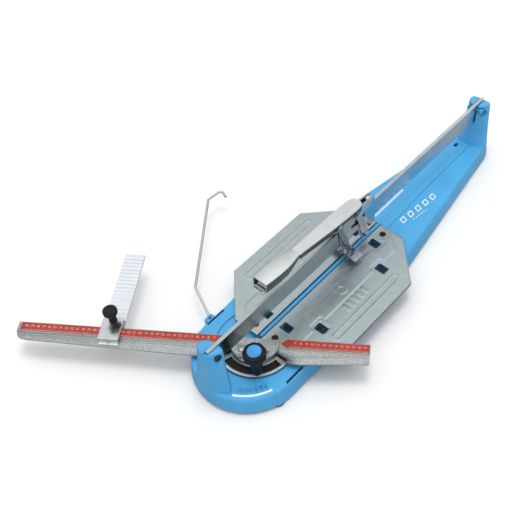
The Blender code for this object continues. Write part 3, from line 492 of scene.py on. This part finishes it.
def moulded_plastic(name, colour, roughness, grain=900, depth=0.00015, pale=1.6):
    """Moulded plastic with a fine spark-eroded grain and slightly rubbed edges."""
    f = Finish(name, colour, roughness, Specular_IOR_Level=0.22)
    tone = f.mix(f.range(f.noise(45, 4), 0.35, 0.65), scaled(colour, 0.85), scaled(colour, 1.15))
    tone = f.mix(f.maths("MULTIPLY", f.edges(0.0009), 0.4), tone, scaled(colour, pale))
    # Painted shade: the plastic is darkened in corners and crevices.
    tone = f.mix(f.maths("MULTIPLY", f.painted_corner_shade(0.004), 0.4), tone, scaled(colour, 0.45))
    rough = f.range(f.noise(70, 4), 0.3, 0.7, roughness - 0.06, roughness + 0.10)
    return f.finish(tone, rough, f.bump(f.noise(grain, 2), 0.25, depth))


def rubber():
    """The feet's rubber, grey with dust in patches."""
    f = Finish("foot_rubber", (0.022, 0.022, 0.023), 0.78)
    dust = f.maths("MULTIPLY", f.range(f.noise(90, 5), 0.52, 0.70), 0.5)
    tone = f.mix(dust, f.base, (0.10, 0.095, 0.085))
    return f.finish(tone, f.range(f.noise(50, 3), 0.3, 0.7, 0.66, 0.88),
                    f.bump(f.noise(700, 3), 0.4, 0.0003))


def brass():
    """The bushings' brass, dulled unevenly and bright along its edges."""
    f = Finish("brass", (0.62, 0.43, 0.17), 0.33, 1.0)
    tone = f.mix(f.range(f.noise(150, 4), 0.4, 0.65), scaled(f.base, 0.65), scaled(f.base, 1.15))
    tone = f.mix(f.maths("MULTIPLY", f.edges(0.0005), 0.5), tone, (0.85, 0.68, 0.38))
    return f.finish(tone, f.range(f.noise(220, 3), 0.3, 0.7, 0.24, 0.46),
                    f.bump(f.noise(600, 2), 0.08, 0.0001))


def white_ink(name="white_ink", colour=(0.80, 0.81, 0.82)):
    """Printed ink that is worn through in places."""
    f = Finish(name, colour, 0.45)
    wear = f.range(f.noise(420, 4), 0.60, 0.72, 0, 0.5)
    tone = f.mix(wear, f.base, scaled(colour, 0.80))
    return f.finish(tone, f.range(f.noise(200, 3), 0.3, 0.7, 0.38, 0.55),
                    f.bump(f.noise(1000, 2), 0.08, 0.0001))


def pale_nylon():
    """The side stop's fence: pale nylon that lets a little light in."""
    f = Finish("pale_nylon", (0.60, 0.645, 0.685), 0.30, Subsurface_Weight=0.12,
               Subsurface_Scale=0.002)
    tone = f.mix(f.range(f.noise(40, 3), 0.35, 0.65), scaled(f.base, 0.94), scaled(f.base, 1.05))
    tone = f.mix(f.maths("MULTIPLY", f.edges(0.0005), 0.5), tone, (0.86, 0.88, 0.90))
    return f.finish(tone, f.range(f.noise(130, 3), 0.3, 0.7, 0.24, 0.40),
                    f.bump(f.noise(300, 2), 0.08, 0.0002))


ENAMEL = blue_enamel()
SHEET = galvanised_sheet()
RAIL_STEEL = rail_steel()
TURNED_STEEL = drawn_steel("turned_steel", (0.60, 0.61, 0.62), 0.24, (14, 14, 1), marks=0.2)
SATIN = satin_zinc()
CAST = cast_aluminium()
RED = red_anodised()
BLACK = moulded_plastic("black_plastic", (0.006, 0.008, 0.011), 0.46, pale=3.0)
CAP_BLUE = moulded_plastic("blue_plastic", (0.055, 0.27, 0.55), 0.42)
CHROME = bright_zinc("polished_chrome", (0.50, 0.54, 0.58), 0.12)
# A darker copy of the chrome, painting in the dark reflection on the breaker's yoke.
CHROME_PAINTED_DARK = bright_zinc("chrome_painted_dark", (0.25, 0.29, 0.34), 0.12)
# A darker copy of the drawn steel: painted shade for the lever's sideways faces.
PAINTED_SHADE_STEEL = drawn_steel("painted_shade_steel", (0.15, 0.175, 0.185), 0.36)
DARK_STEEL = drawn_steel("dark_steel", (0.05, 0.05, 0.052), 0.42, marks=0.1)
RUBBER = rubber()
BRASS = brass()
WIRE_ZINC = bright_zinc("wire_zinc", (0.60, 0.61, 0.615), 0.26)
NYLON = pale_nylon()
INK = white_ink()
FAINT_INK = white_ink("faint_ink", (0.42, 0.60, 0.78))
SCALE_INK = white_ink("scale_ink", (0.62, 0.42, 0.38))


# Kept CAD pieces


def dress(material, *names):
    """Gives kept CAD pieces a material, and smooth shading between their sharp edges."""
    for name in names:
        data = NODES[name].data
        data.materials.clear()
        data.materials.append(material)
        data.shade_smooth()
        data.set_sharp_from_angle(angle=math.radians(32))


def dress_kept_nodes():
    corners = [f"{side}_{end}" for side in SIDES for end in ENDS]
    rollers = [f"{level}_{end}" for level in ("top", "low") for end in ENDS]
    dress(ENAMEL, "base_casting", "side_arm_bracket", "rail_bolt_rear")
    dress(RUBBER, *(f"foot_{end}_{side}" for side in SIDES for end in ENDS))
    dress(RAIL_STEEL, "guide_rail")
    dress(DARK_STEEL, "rail_bolt_front", *(f"plate_pin_{c}" for c in corners))
    dress(BRASS, *(f"plate_bushing_{c}" for c in corners))
    dress(TURNED_STEEL, "pivot_bolt", "bar_screw_left", "bar_screw_right", "clamp_stud",
          "clamp_washer", "handle_pin", "breaker_pin", "wheel_axle", "scoring_wheel",
          *(f"roller_{r}" for r in rollers), *(f"roller_pin_{r}" for r in rollers),
          *(f"plate_spring_{c}" for c in corners))
    # The yoke's darker chrome is a painted dark reflection.
    dress(CHROME_PAINTED_DARK, "breaker_yoke")
    dress(CHROME, "wheel_arm_left", "wheel_arm_right")
    dress(TURNED_STEEL, "stop_slider")
    dress(RED, "scale_left", "scale_right")
    dress(BLACK, "clamp_knob", "stop_thumb_screw")
    dress(CAP_BLUE, "clamp_knob_cap")
    dress(WIRE_ZINC, "side_arm")
    dress(NYLON, "stop_fence")
    dress(FAINT_INK, "deck_scale")
    for name, width in (("guide_rail", 0.6), ("stop_slider", 0.5),
                        ("breaker_yoke", 0.5), ("side_arm_bracket", 0.6)):
        round_edges(NODES[name], width, 50)


def shorten_springs():
    """Gives each plate spring a mesh of its own."""
    for side in SIDES:
        for end in ENDS:
            name = f"plate_spring_{side}_{end}"
            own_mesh(NODES[name])


# Table plates


WINDOWS = ((24.5, 53), (72.5, 90), (72.5, 262), (24.5, 301))
WINDOW_HALF = (11, 8)
PIN_HOLE_RADIUS = 7.4
PIN_X = 23
PIN_YS = (24, 329)
PLATE_MIDDLE_Y = 177.5
PLATE_CHAMFER = 77


def smooth_step(distance, width):
    """One well inside a shape and nought well outside, from a signed distance to its edge."""
    share = min(max(0.5 - distance / width, 0), 1)
    return share * share * (3 - 2 * share)


def square_distance(x, y, centre, half, corner):
    """The signed distance to a rectangle with round corners: below nought inside it."""
    across = abs(x - centre[0]) - half[0] + corner
    along = abs(y - centre[1]) - half[1] + corner
    outside = math.hypot(max(across, 0), max(along, 0))
    return outside + min(max(across, along), 0) - corner


def stamping(x, y):
    """Height of a plate's stamped pattern over its flat, with x counted from the rail outwards."""
    # The pattern is the same from the middle towards both ends, so it is worked out once.
    y = PLATE_MIDDLE_Y + abs(y - PLATE_MIDDLE_Y)
    inner_window, outer_window = WINDOWS[3], WINDOWS[2]
    inner_strip = min(
        x - 30.5,
        square_distance(x, y, inner_window, (17, 15), 5),
        math.hypot(x - PIN_X, y - PIN_YS[1]) - 14,
    )
    end_line = (x - 58) * 0.66 + (y - 320) * 0.75
    outer_square = square_distance(x, y, outer_window, (18, 16), 6)
    raised = max(-inner_strip, x - 65.5, -outer_square, end_line)
    height = 0.8 * smooth_step(raised, 1.8)
    rib = abs(square_distance(x, y, (105, PLATE_MIDDLE_Y), (6.5, 90), 6.5)) - 0.7
    height += 0.9 * smooth_step(rib, 1.7)
    dimple = abs(math.hypot(x - 47, y - PLATE_MIDDLE_Y) - 8.2) - 0.9
    height += 0.8 * smooth_step(dimple, 1.6)
    for i in range(3):
        bar = square_distance(x, y, (79, PLATE_MIDDLE_Y + 13 * i), (8.5, 3.4), 3)
        height += 0.6 * smooth_step(bar, 1.6)
    for window in (inner_window, outer_window):
        away = square_distance(x, y, window, WINDOW_HALF, 2)
        height -= 0.8 * max(0, 1 - max(away, 0) / 2.2) ** 2
    return height


def build_plate(side_name):
    """A table plate: stamped sheet that turns down at its edges, with windows and pin holes."""
    side = SIDES[side_name]
    low, high = node_box(f"plate_{side_name}")
    inner = min(abs(low.x), abs(high.x))
    outer = max(abs(low.x), abs(high.x))
    front, rear, bottom = low.y, high.y, low.z
    edge_radius = 1.5

    def outer_edge(y):
        return outer - max(0, PLATE_CHAMFER - (y - front), PLATE_CHAMFER - (rear - y))

    def graded(count):
        """Shares from 0 to 1 that crowd together at both ends, where the sheet's edge turns."""
        shares = [i / (count - 1) for i in range(count)]
        return [0, 0.004, 0.012] + [0.02 + 0.96 * s for s in shares] + [0.988, 0.996, 1]

    columns, rows = graded(96), graded(214)
    mesh = bmesh.new()
    grid = []
    for v in rows:
        y = front + (rear - front) * v
        line = []
        for u in columns:
            x = inner + (outer_edge(y) - inner) * u
            chamfer = min(
                (outer - PLATE_CHAMFER + y - front - x), (outer - PLATE_CHAMFER + rear - y - x)
            ) / math.sqrt(2)
            inside = min(x - inner, y - front, rear - y, outer - x, chamfer)
            drop = max(edge_radius - inside, 0)
            turned_down = edge_radius - math.sqrt(max(edge_radius**2 - drop**2, 0))
            z = PLATE_TOP + stamping(x, y) - turned_down
            line.append(mesh.verts.new((side * x, y, z)))
        grid.append(line)
    for below, above in zip(grid, grid[1:]):
        for i in range(len(columns) - 1):
            mesh.faces.new((below[i], below[i + 1], above[i + 1], above[i]))
    # The skirt hangs from the chamfers, the outer side and the rear. The sheet stays open over
    # the quadrant, which swings under its front corner.
    rim = [grid[0][-1]] + [line[-1] for line in grid[1:]] + list(reversed(grid[-1][:-1]))
    hung = []
    for vert in rim:
        over_quadrant = abs(vert.co.x) < 90 and vert.co.y < 60
        foot = PLATE_TOP - 2.6 if over_quadrant else bottom + 0.1
        hung.append(mesh.verts.new((vert.co.x, vert.co.y, foot)))
    for i in range(len(rim) - 1):
        mesh.faces.new((rim[i], rim[i + 1], hung[i + 1], hung[i]))
    plate = link(f"stamped_plate_{side_name}", mesh, SHEET, f"table_{side_name}", sharp=60)
    solidify = plate.modifiers.new("thickness", "SOLIDIFY")
    solidify.thickness = SHEET_THICKNESS * MM
    solidify.offset = -1
    settle(plate)
    low, high = PLATE_TOP - 6, PLATE_TOP + 4
    openings = [rounded_box((side * x, y), WINDOW_HALF, 1.8, low, high) for x, y in WINDOWS]
    hole = ((PIN_HOLE_RADIUS, low), (PIN_HOLE_RADIUS, high))
    openings += [turned("Z", hole, 48, (side * PIN_X, y)) for y in PIN_YS]
    cut(plate, join(openings))
    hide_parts(f"plate_{side_name}")


# Printed and embossed marks


def text_shape(text, size, place, turn=0.0, height=0.3):
    """Solid characters that stand on a place, centred on it."""
    curve = bpy.data.curves.new("text", "FONT")
    curve.body = text
    curve.size = size
    curve.align_x = "CENTER"
    curve.align_y = "CENTER"
    curve.resolution_u = 3
    curve.extrude = height / 2
    helper = bpy.data.objects.new("text", curve)
    data = bpy.data.meshes.new_from_object(helper)
    mesh = bmesh.new()
    mesh.from_mesh(data)
    x, y, z = place
    mesh.transform(Matrix.Translation((x, y, z + height / 2)) @ Matrix.Rotation(turn, 4, "Z"))
    bpy.data.objects.remove(helper)
    bpy.data.curves.remove(curve)
    bpy.data.meshes.remove(data)
    return mesh


def build_scale_marks():
    """White numbers at each centimetre of the red strips, and ticks at each millimetre."""
    top = node_box("scale_left")[1].z
    front = SCALE_FRONT_Y + 0.5
    shapes = []
    for first, last in ((-408, -52), (62, 196)):
        for place in range(first, last + 1):
            if place % 10 == 0:
                length = 3.6
            elif place % 5 == 0:
                length = 2.8
            else:
                length = 1.9
            shapes.append(box((place - 0.17, front, top), (place + 0.17, front + length, top + 0.1)))
            if place % 10 == 0 and first < place < last:
                label = str(abs(place) // 10)
                shapes.append(text_shape(label, 6.4, (place, -8.2, top), 0, 0.12))
    link("scale_marks", join(shapes), SCALE_INK, "bar", BAR_TURN)


def build_deck_marks():
    """A white arc and raised degree numbers in front, and slanted outlines on the rear deck."""
    deck = node_box("front_post")[0].z - 0.3
    arc = link("deck_arc", ring_of(89.6, 1.9, 26, 70, deck - 0.2, deck + 0.6, NOSE_Y), INK, "base")
    round_edges(arc, 0.3)
    shapes = []
    for degrees in range(30, 68, 3):
        turn = math.radians(degrees)
        if degrees % 2:
            x, y = polar(79, degrees)
            label = str(abs(degrees - 45) * 5 // 2)
            shapes.append(text_shape(label, 10, (x, y + NOSE_Y, deck - 0.1), turn, 2))
        else:
            tick = box((-0.8, -85, 0), (0.8, -72, 2))
            place = Matrix.Translation((0, NOSE_Y, deck - 0.1))
            tick.transform(place @ Matrix.Rotation(turn, 4, "Z"))
            shapes.append(tick)
    link("deck_numbers", join(shapes), ENAMEL, "base")

    badges = []
    for i in range(5):
        centre = (27 + 2.1 * i, 391 + 21.5 * i)
        badges += [badge_stroke(centre, angle, deck) for angle in range(45, 405, 90)]
    for i in range(6):
        x, y = 41 + 0.9 * i, 404 + 7 * i
        badges.append(box((x, y, deck - 0.1), (x + 1.6, y + 3.5, deck + 0.25)))
    link("deck_badges", join(badges), INK, "base")


def badge_stroke(centre, degrees, deck):
    """One side of a slanted square outline, drawn on the rear deck."""
    corners = []
    for radius, shift in ((5.8, 0), (5.8, 90), (8.6, 90), (8.6, 0)):
        angle = math.radians(degrees + shift)
        x, y = radius * math.cos(angle), radius * math.sin(angle)
        corners.append((centre[0] + x, centre[1] + y - 0.3 * x))
    return prism("Z", corners, deck - 0.1, deck + 0.25)


def ring_of(radius, half_width, first, last, low, high, middle_y):
    """A slice of a thin ring about a middle in front of the pivot."""
    mesh = ring_sector(radius - half_width, radius + half_width, first, last, low, high)
    mesh.transform(Matrix.Translation((0, middle_y, 0)))
    return mesh


# Measuring bar


def bar_ring(place, front, top=BAR_TOP, label=BAR_LABEL_DEPTH, lip=0.5, ridge=None):
    """One section of the bar: the scale's flat, a lip, a sloping band, a ridge and a steep front."""
    ridge = ridge or max(front - 12, label + 4)
    wall = [
        (0, BAR_BOTTOM), (0, top - 0.7), (0.7, top), (label - 0.9, top), (label - 0.5, top + lip),
        (label + 1.2, top + lip), (label + 1.8, top - 0.6), (ridge - 1.6, top - 1.7),
        (ridge - 0.9, top - 1.0), (ridge + 0.6, top - 1.2), (ridge + 1.3, top - 2.2),
    ]
    most = front - 3.2
    ring = [(min(depth, most + i * 0.05), z) for i, (depth, z) in enumerate(wall)]
    ring += [
        (front - 2, BAR_BOTTOM + 2.6), (front - 0.7, BAR_BOTTOM + 2.0),
        (front, BAR_BOTTOM + 1.0), (front, BAR_BOTTOM),
    ]
    return [(place, -depth, z) for depth, z in ring]


def build_bar():
    """The cast bar, cut away for the clamp knob and the two screws, with its graduations."""
    left, right = BAR_LEFT, BAR_RIGHT
    stations = [
        bar_ring(left, 20, BAR_TOP - 1.5, 15, 0),
        bar_ring(left + 1.2, 24, BAR_TOP - 0.4, 17),
        bar_ring(left + 4, 28),
        bar_ring(left + 9, 31),
        bar_ring(left + 18, 32.5, ridge=24),
        bar_ring(-130, 41.5, ridge=25.5),
        bar_ring(-44, 41.5, ridge=25.5),
        bar_ring(-43, 40, 55, 32, 0),
        bar_ring(43, 40, 55, 32, 0),
        bar_ring(44, 44),
        bar_ring(80, 46),
        bar_ring(right - 0.8, 37),
        bar_ring(right, 36.4, BAR_TOP - 0.6, BAR_LABEL_DEPTH, 0.3),
    ]
    bar = link("cast_bar", loft(stations), CAST, "bar", BAR_TURN, 26)
    screws = [turned("Z", ((2.3, 45), (2.3, 70)), 24, polar(33, a)) for a in (-38, 34)]
    knob_path = [
        (48, 45), (72, 45), (72, 70), (30, 70), (42.5, 55.01), (45.5, 53.6), (47.4, 50),
    ]
    rings = []
    for i in range(65):
        angle = math.radians(SECTOR_HALF_ANGLE * (i / 32 - 1))
        rings.append([(r * math.sin(angle), -r * math.cos(angle), z) for r, z in knob_path])
    cut(bar, loft(rings), join(screws))
    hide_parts("measuring_bar")

    front, slope = BAR_LABEL_DEPTH + 2.5, 0.19
    z = BAR_TOP - 0.56
    ticks = []
    for first, last in ((-400, -50), (55, 195)):
        for place in range(first, last + 1, 5):
            reach = 5 if place % 10 == 0 else 3.4
            corners = [(place + dx, -(front + d), z - d * slope) for dx, d in
                       ((-0.25, 0), (0.25, 0), (0.25, reach), (-0.25, reach))]
            ticks.append(loft([corners, [(x, y, h + 0.12) for x, y, h in corners]]))
    link("bar_graduations", join(ticks), DARK_STEEL, "bar", BAR_TURN)


def build_quadrant():
    """The sector that carries the bar: a bright rim and lips round the slot, and a sunk field."""
    profile = (
        (6, 38.5), (69.4, 38.5), (70, 39.1), (70, 43.4), (69.3, 44.2), (66.6, 44.2), (65.6, 43.2),
        (50.4, 43.2), (49, 44.1), (48.2, 45.2), (47, 50.4), (6, 50.7),
    )
    steps = 80
    rings = []
    for i in range(steps + 1):
        degrees = SECTOR_HALF_ANGLE * (2 * i / steps - 1)
        # The raised middle stops short of the sector's ends, so that they pass under the plates.
        highest = 50.7 if -48 < degrees < 46 else 44
        angle = math.radians(degrees)
        rings.append([(r * math.sin(angle), -r * math.cos(angle), min(z, highest))
                      for r, z in profile])
    sector = link("cast_quadrant", loft(rings), CAST, "bar", BAR_TURN)
    cut(sector, ring_sector(50.3, 64.8, -50, 50, 30, 48))
    round_edges(sector, 0.5)
    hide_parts("quadrant_plate")
    rim = link("quadrant_rim", ring_sector(66.8, 70.1, -57.9, 57.9, 39, 44.27), SATIN, "bar",
               BAR_TURN)
    round_edges(rim, 0.6)
    # A thin black ring on the deck under the slot paints in the shadow that fills the slot.
    slot_shadow = link("painted_slot_shadow", ring_sector(46, 67, -58, 100, 37.4, 38.2), BLACK, "base")
    round_edges(slot_shadow, 0.2)


def build_stop_details():
    """The white lines across the side stop's fence and the reading strip before its saddle."""
    stop = STOP_X
    lines = []
    for i in range(18):
        for offset in (0, 1.9):
            y = 20 + 8.3 * i + offset
            lines.append(box((stop - 17.9, y, 59.3), (stop + 18.9, y + 0.8, 59.75)))
    link("fence_lines", join(lines), INK, "stop", BAR_TURN)
    strip = link("reading_strip", box((stop - 17, -34.6, 56.4), (stop + 17, -30.6, 57.4)), INK,
                 "stop", BAR_TURN)
    round_edges(strip, 0.3)
    link("reading_mark", box((stop - 3.4, -33.8, 57.3), (stop + 2.6, -32.8, 57.55)), DARK_STEEL,
         "stop", BAR_TURN)


# Posts, lever and carriage


def post_skin(head, foot, levels, middle_y, ease=1):
    """A skin from a post's foot to its head, through (share of the way, height, inset) levels."""
    rings = []
    for share, z, inset in levels:
        outline = []
        for (hx, hy), (fx, fy) in zip(head, foot):
            x, y = fx + (hx - fx) * share**ease, fy + (hy - fy) * share**ease
            away = math.hypot(x, y - middle_y)
            outline.append((x - inset * x / away, y - inset * (y - middle_y) / away))
        rings.append([(x, y, z) for x, y in softened(outline, 1)])
    return loft(rings)


def bolt_bore(reach):
    """The profile of a rail bolt's bore, with a counterbore at each end."""
    half = ((6.6, -reach), (6.6, -12), (3.3, -12))
    return half + tuple((radius, -place) for radius, place in reversed(half))


def build_front_post():
    """The cast post swells out of the nose; its front flows down over the rim."""
    head = [
        (16.5, -84), (11, -80), (-12, -82), (-22, -88), (-26, -97), (-23, -104.5), (-12, -110),
        (-2, -111.5), (4, -110), (7.5, -105.5), (11, -99), (15, -91),
    ]
    foot = [
        (39, -102), (20, -85), (-20, -85), (-38, -98), (-40, -106), (-36, -112.6), (-20, -117.6),
        (0, -119), (16, -115), (28, -108.5), (34, -104.5), (38, -102.5),
    ]
    levels = (
        (0, 33.5, 0), (0.03, 36.5, 0), (0.08, 41, 0), (0.2, 52, 0), (0.4, 71, 0), (0.65, 97, 0),
        (0.9, 124, 0), (0.97, 131, 0.2), (0.99, 133.2, 0.9), (1, 134, 2.4),
    )
    skin = post_skin(head, foot, levels, -96, 0.85)
    post = link("cast_front_post", skin, ENAMEL, "base", sharp=50)
    slot = ((-60, 92.7), (-104.3, 92.7), (-104.3, 131), (-120, 131), (-120, 139), (-60, 139))
    cut(post, prism("X", slot, -3.9, 3.9), turned("X", bolt_bore(40), 32, (-95, 123)))
    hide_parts("front_post")


def build_rear_post():
    """The rear post: a web that flows up from the deck's edges to a thin head round the rail."""
    head = [
        (22, 680), (14, 670), (6, 665), (-6, 665), (-14, 668), (-22, 676), (-21, 687), (-9, 691),
        (9, 691), (21, 690),
    ]
    foot = [
        (38, 664), (26, 655), (8, 645), (-8, 645), (-26, 655), (-38, 664), (-32, 682), (-15, 690),
        (15, 690), (32, 682),
    ]
    levels = (
        (0, 38, 0), (0.10, 43, 0), (0.26, 52, 0), (0.50, 70, 0), (0.76, 96, 0), (0.95, 122, 0),
        (0.99, 132, 0), (1, 134, 1.6),
    )
    skin = post_skin(head, foot, levels, 679)
    post = link("cast_rear_post", skin, ENAMEL, "base", sharp=50)
    low, high = node_box("rail_bolt_rear")
    pocket = ((7.5, 13.5), (8.5, 60))
    cut(
        post,
        box((-5.2, 600, 92.7), (5.2, 700, 150)),
        turned("X", bolt_bore(60), 32, ((low.y + high.y) / 2, (low.z + high.z) / 2)),
        turned("X", pocket, 32, (672, 116)),
    )
    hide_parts("rear_post")


LEVER_PIVOT = (270, 150)
LEVER_TILT = 4.65
LEVER_PLAN = (
    (-158, 9.8), (-150, 9.8), (-120, 11.2), (-80, 13.2), (-40, 14.2), (-6, 14.2), (4, 12.6),
    (9, 9.4), (11.5, 4.5),
)
GRIP_SECTIONS = (
    (-157, 9.8, 9, 20.4), (-166, 11.4, 7, 20.8), (-178, 14.2, 4, 21.4), (-192, 16.4, 1, 21.9),
    (-212, 17.2, 0, 22), (-232, 16.6, -0.6, 22), (-246, 15.6, -1, 22),
)


def tilted(mesh):
    """Places a mesh drawn level about the lever's pin at the lever's angle."""
    y, z = LEVER_PIVOT
    mesh.transform(
        Matrix.Translation((0, y, z)) @ Matrix.Rotation(math.radians(-LEVER_TILT), 4, "X")
    )
    return mesh


def paint_shade_on_sides(obj, material):
    """Gives the faces that look sideways the darker steel, as painted shade."""
    obj.data.materials.append(material)
    for face in obj.data.polygons:
        if abs(face.normal.x) > 0.8:
            face.material_index = 1


def build_lever():
    """The lever: a waisted strip over a narrow channel whose walls taper to lips below."""
    plan = [(half, y) for y, half in LEVER_PLAN]
    plan += [(-half, y) for half, y in reversed(plan)]
    strip = link("lever_strip", tilted(prism("Z", plan, 17.6, 20)), SATIN, "lever", sharp=40)
    round_edges(strip, 0.9)
    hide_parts("handle_lever")

    wall = (
        (8, -6), (11, 0), (10, 14), (6, 17.7), (-158, 17.7), (-158, 10), (-110, 5.5), (-70, 2),
        (-44, 0.5), (-24, 2), (-10, -2), (-5, -7), (2, -8),
    )
    lip = ((-158, 9), (-110, 4.5), (-70, 1.2), (-44, -0.2), (-44, 2), (-70, 3.4), (-110, 6.7),
           (-158, 11.2))
    walls, lips = [], []
    for side in (-1, 1):
        walls.append(prism("X", wall, *sorted((side * 7.4, side * 9.2))))
        lips.append(prism("X", lip, *sorted((side * 9, side * 11.4))))
    # The channel walls take the darker steel as painted shade.
    sides = link("lever_walls", tilted(join(walls)), PAINTED_SHADE_STEEL, "lever", sharp=40)
    edges = link("lever_lips", tilted(join(lips)), CHROME, "lever", sharp=40)
    for piece in (sides, edges):
        round_edges(piece, 0.4)


def build_grip():
    """The grip: a hollow sleeve that swells from the lever's waist and is open at its end."""
    rings, hollow = [], []
    for y, half, low, high in GRIP_SECTIONS:
        outline = [
            (half - 4, low), (half - 2, low + 1), (half - 0.8, low + 4), (half, high - 6),
            (half, high - 3), (half - 1, high - 1), (half - 3, high),
        ]
        outline += [(-x, z) for x, z in reversed(outline)]
        rings.append([(x, y, z) for x, z in outline])
        middle = (low + high) / 2
        hollow.append([(x * 0.86, y, middle + (z - middle) * 0.8) for x, z in outline])
    hollow[-1] = [(x, y - 3, z) for x, y, z in hollow[-1]]
    grip = link("swelled_grip", tilted(loft(rings)), SATIN, "lever", sharp=45)
    cut(grip, tilted(loft(hollow[2:])))
    # The grip's sideways faces get painted shade.
    paint_shade_on_sides(grip, PAINTED_SHADE_STEEL)
    round_edges(grip, 0.5)
    plug = link("grip_plug", tilted(box((-12.4, -241, 4), (12.4, -238, 17))), CHROME, "lever")
    round_edges(plug, 1)
    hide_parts("handle_grip")


def build_carriage_sides():
    """The carriage's side plates, with the ribs and screws on their outer faces."""
    outline = [
        (221, 128), (221, 152), (226, 156.5), (262, 157), (266, 160), (274, 160), (278, 157),
        (316, 156.5), (322, 151), (324, 120), (324, 84), (320, 79.5), (308, 79.5), (304.5, 84),
        (303, 92), (290, 97), (256, 97), (247.5, 92), (246, 84), (241.5, 79.5), (231, 79.5),
        (227, 83.5), (226, 100),
    ]
    opening = softened([(254, 117), (294, 117), (294, 133), (254, 133)])
    ribs = (((243, 103), (300, 108)), ((240, 111), (300, 114)), ((250, 138), (312, 141.5)),
            ((232, 146), (316, 148.5)), ((228, 152.5), (316, 155)))
    for side_name, side in SIDES.items():
        inner, outer = side * 4.2, side * 6.2
        plate = link(
            f"pressed_plate_{side_name}",
            prism("X", softened(outline, 1), *sorted((inner, outer))),
            CHROME,
            "carriage",
        )
        cut(plate, prism("X", opening, *sorted((side * 2, side * 9))))
        round_edges(plate, 0.4)
        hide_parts(f"carriage_plate_{side_name}")
        raised = []
        for (y0, z0), (y1, z1) in ribs:
            x0, x1 = sorted((outer - side * 0.2, side * 6.9))
            raised.append(box((x0, y0, z0), (x1, y1, z1)))
        rib = link(f"plate_ribs_{side_name}", join(raised), SATIN, "carriage")
        round_edges(rib, 0.3)
    # The screw heads clear the scoring arm, which swings close beside the plate.
    heads = []
    for side in (-1, 1):
        for y, z in ((302, 128), (236, 140)):
            heads.append(turned("X", ((2.6, side * 6.1), (2.6, side * 6.8)), 24, (y, z)))
    link("plate_screw_heads", join(heads), TURNED_STEEL, "carriage")


# Stage


def build_stage():
    """A pale floor, one soft panel overhead and a graded sky."""
    floor_mesh = bmesh.new()
    reach = 6000
    bmesh.ops.create_grid(floor_mesh, x_segments=1, y_segments=1, size=reach)
    f = Finish("pale_floor", (0.81, 0.81, 0.81), 0.55)
    tone = f.mix(f.range(f.noise(0.8, 2), 0.3, 0.7), (0.80, 0.80, 0.80), (0.82, 0.82, 0.82))
    # Metal sees a darker bench than the eye does, which gives upright faces their contrast.
    mirrored = f.add("ShaderNodeLightPath").outputs["Is Glossy Ray"]
    tone = f.mix(mirrored, tone, (0.30, 0.33, 0.35))
    floor = link("floor", floor_mesh, f.finish(tone), None)
    floor.location.z = -0.0002

    def panel(name, place, size, power, target=(0, 0.1, 0)):
        lamp = bpy.data.lights.new(name, "AREA")
        lamp.shape = "RECTANGLE"
        lamp.size, lamp.size_y = size
        lamp.energy = power
        obj = bpy.data.objects.new(name, lamp)
        bpy.context.scene.collection.objects.link(obj)
        obj.location = place
        obj.rotation_euler = (Vector(target) - obj.location).to_track_quat("-Z", "Y").to_euler()
        obj.visible_glossy = False

    panel("overhead", (0.15, 0.3, 5), (1.6, 1.6), 85)

    world = bpy.data.worlds.new("studio")
    world.use_nodes = True
    tree = world.node_tree
    direction = tree.nodes.new("ShaderNodeTexCoord").outputs["Generated"]
    split = tree.nodes.new("ShaderNodeSeparateXYZ")
    tree.links.new(direction, split.inputs[0])
    ramp = tree.nodes.new("ShaderNodeValToRGB")
    tree.links.new(split.outputs["Z"], ramp.inputs["Fac"])
    # A broad soft box overhead fades out where level metal mirrors it, so low relief shows.
    stops = (
        (0.0, 0.45), (0.35, 0.42), (0.60, 0.44), (0.74, 0.56), (0.80, 0.68), (0.88, 0.90), (1.0, 1.0)
    )
    ramp.color_ramp.elements.remove(ramp.color_ramp.elements[1])
    for i, (place, level) in enumerate(stops):
        element = ramp.color_ramp.elements[0] if i == 0 else ramp.color_ramp.elements.new(place)
        element.position = place
        element.color = (level, level, level, 1)
    background = tree.nodes["Background"]
    tree.links.new(ramp.outputs["Color"], background.inputs["Color"])
    background.inputs["Strength"].default_value = 1.6
    bpy.context.scene.world = world


def build_camera():
    """The camera stands where the photograph was taken from."""
    data = bpy.data.cameras.new("camera")
    data.lens = 58.93
    data.sensor_width = 36
    data.shift_x = -0.1789
    data.shift_y = -0.0038
    camera = bpy.data.objects.new("camera", data)
    bpy.context.scene.collection.objects.link(camera)
    camera.location = (PIVOT.x + 0.6268, PIVOT.y - 0.5160, 1.2666)
    camera.rotation_euler = [math.radians(angle) for angle in (39.13, 0.08, 39.29)]
    bpy.context.scene.camera = camera
    bpy.context.scene.view_settings.view_transform = "Standard"


dress_kept_nodes()
for plate_side in SIDES:
    build_plate(plate_side)
build_bar()
build_quadrant()
build_scale_marks()
build_deck_marks()
build_stop_details()
shorten_springs()
build_front_post()
build_rear_post()
build_lever()
build_grip()
build_carriage_sides()
build_stage()
build_camera()
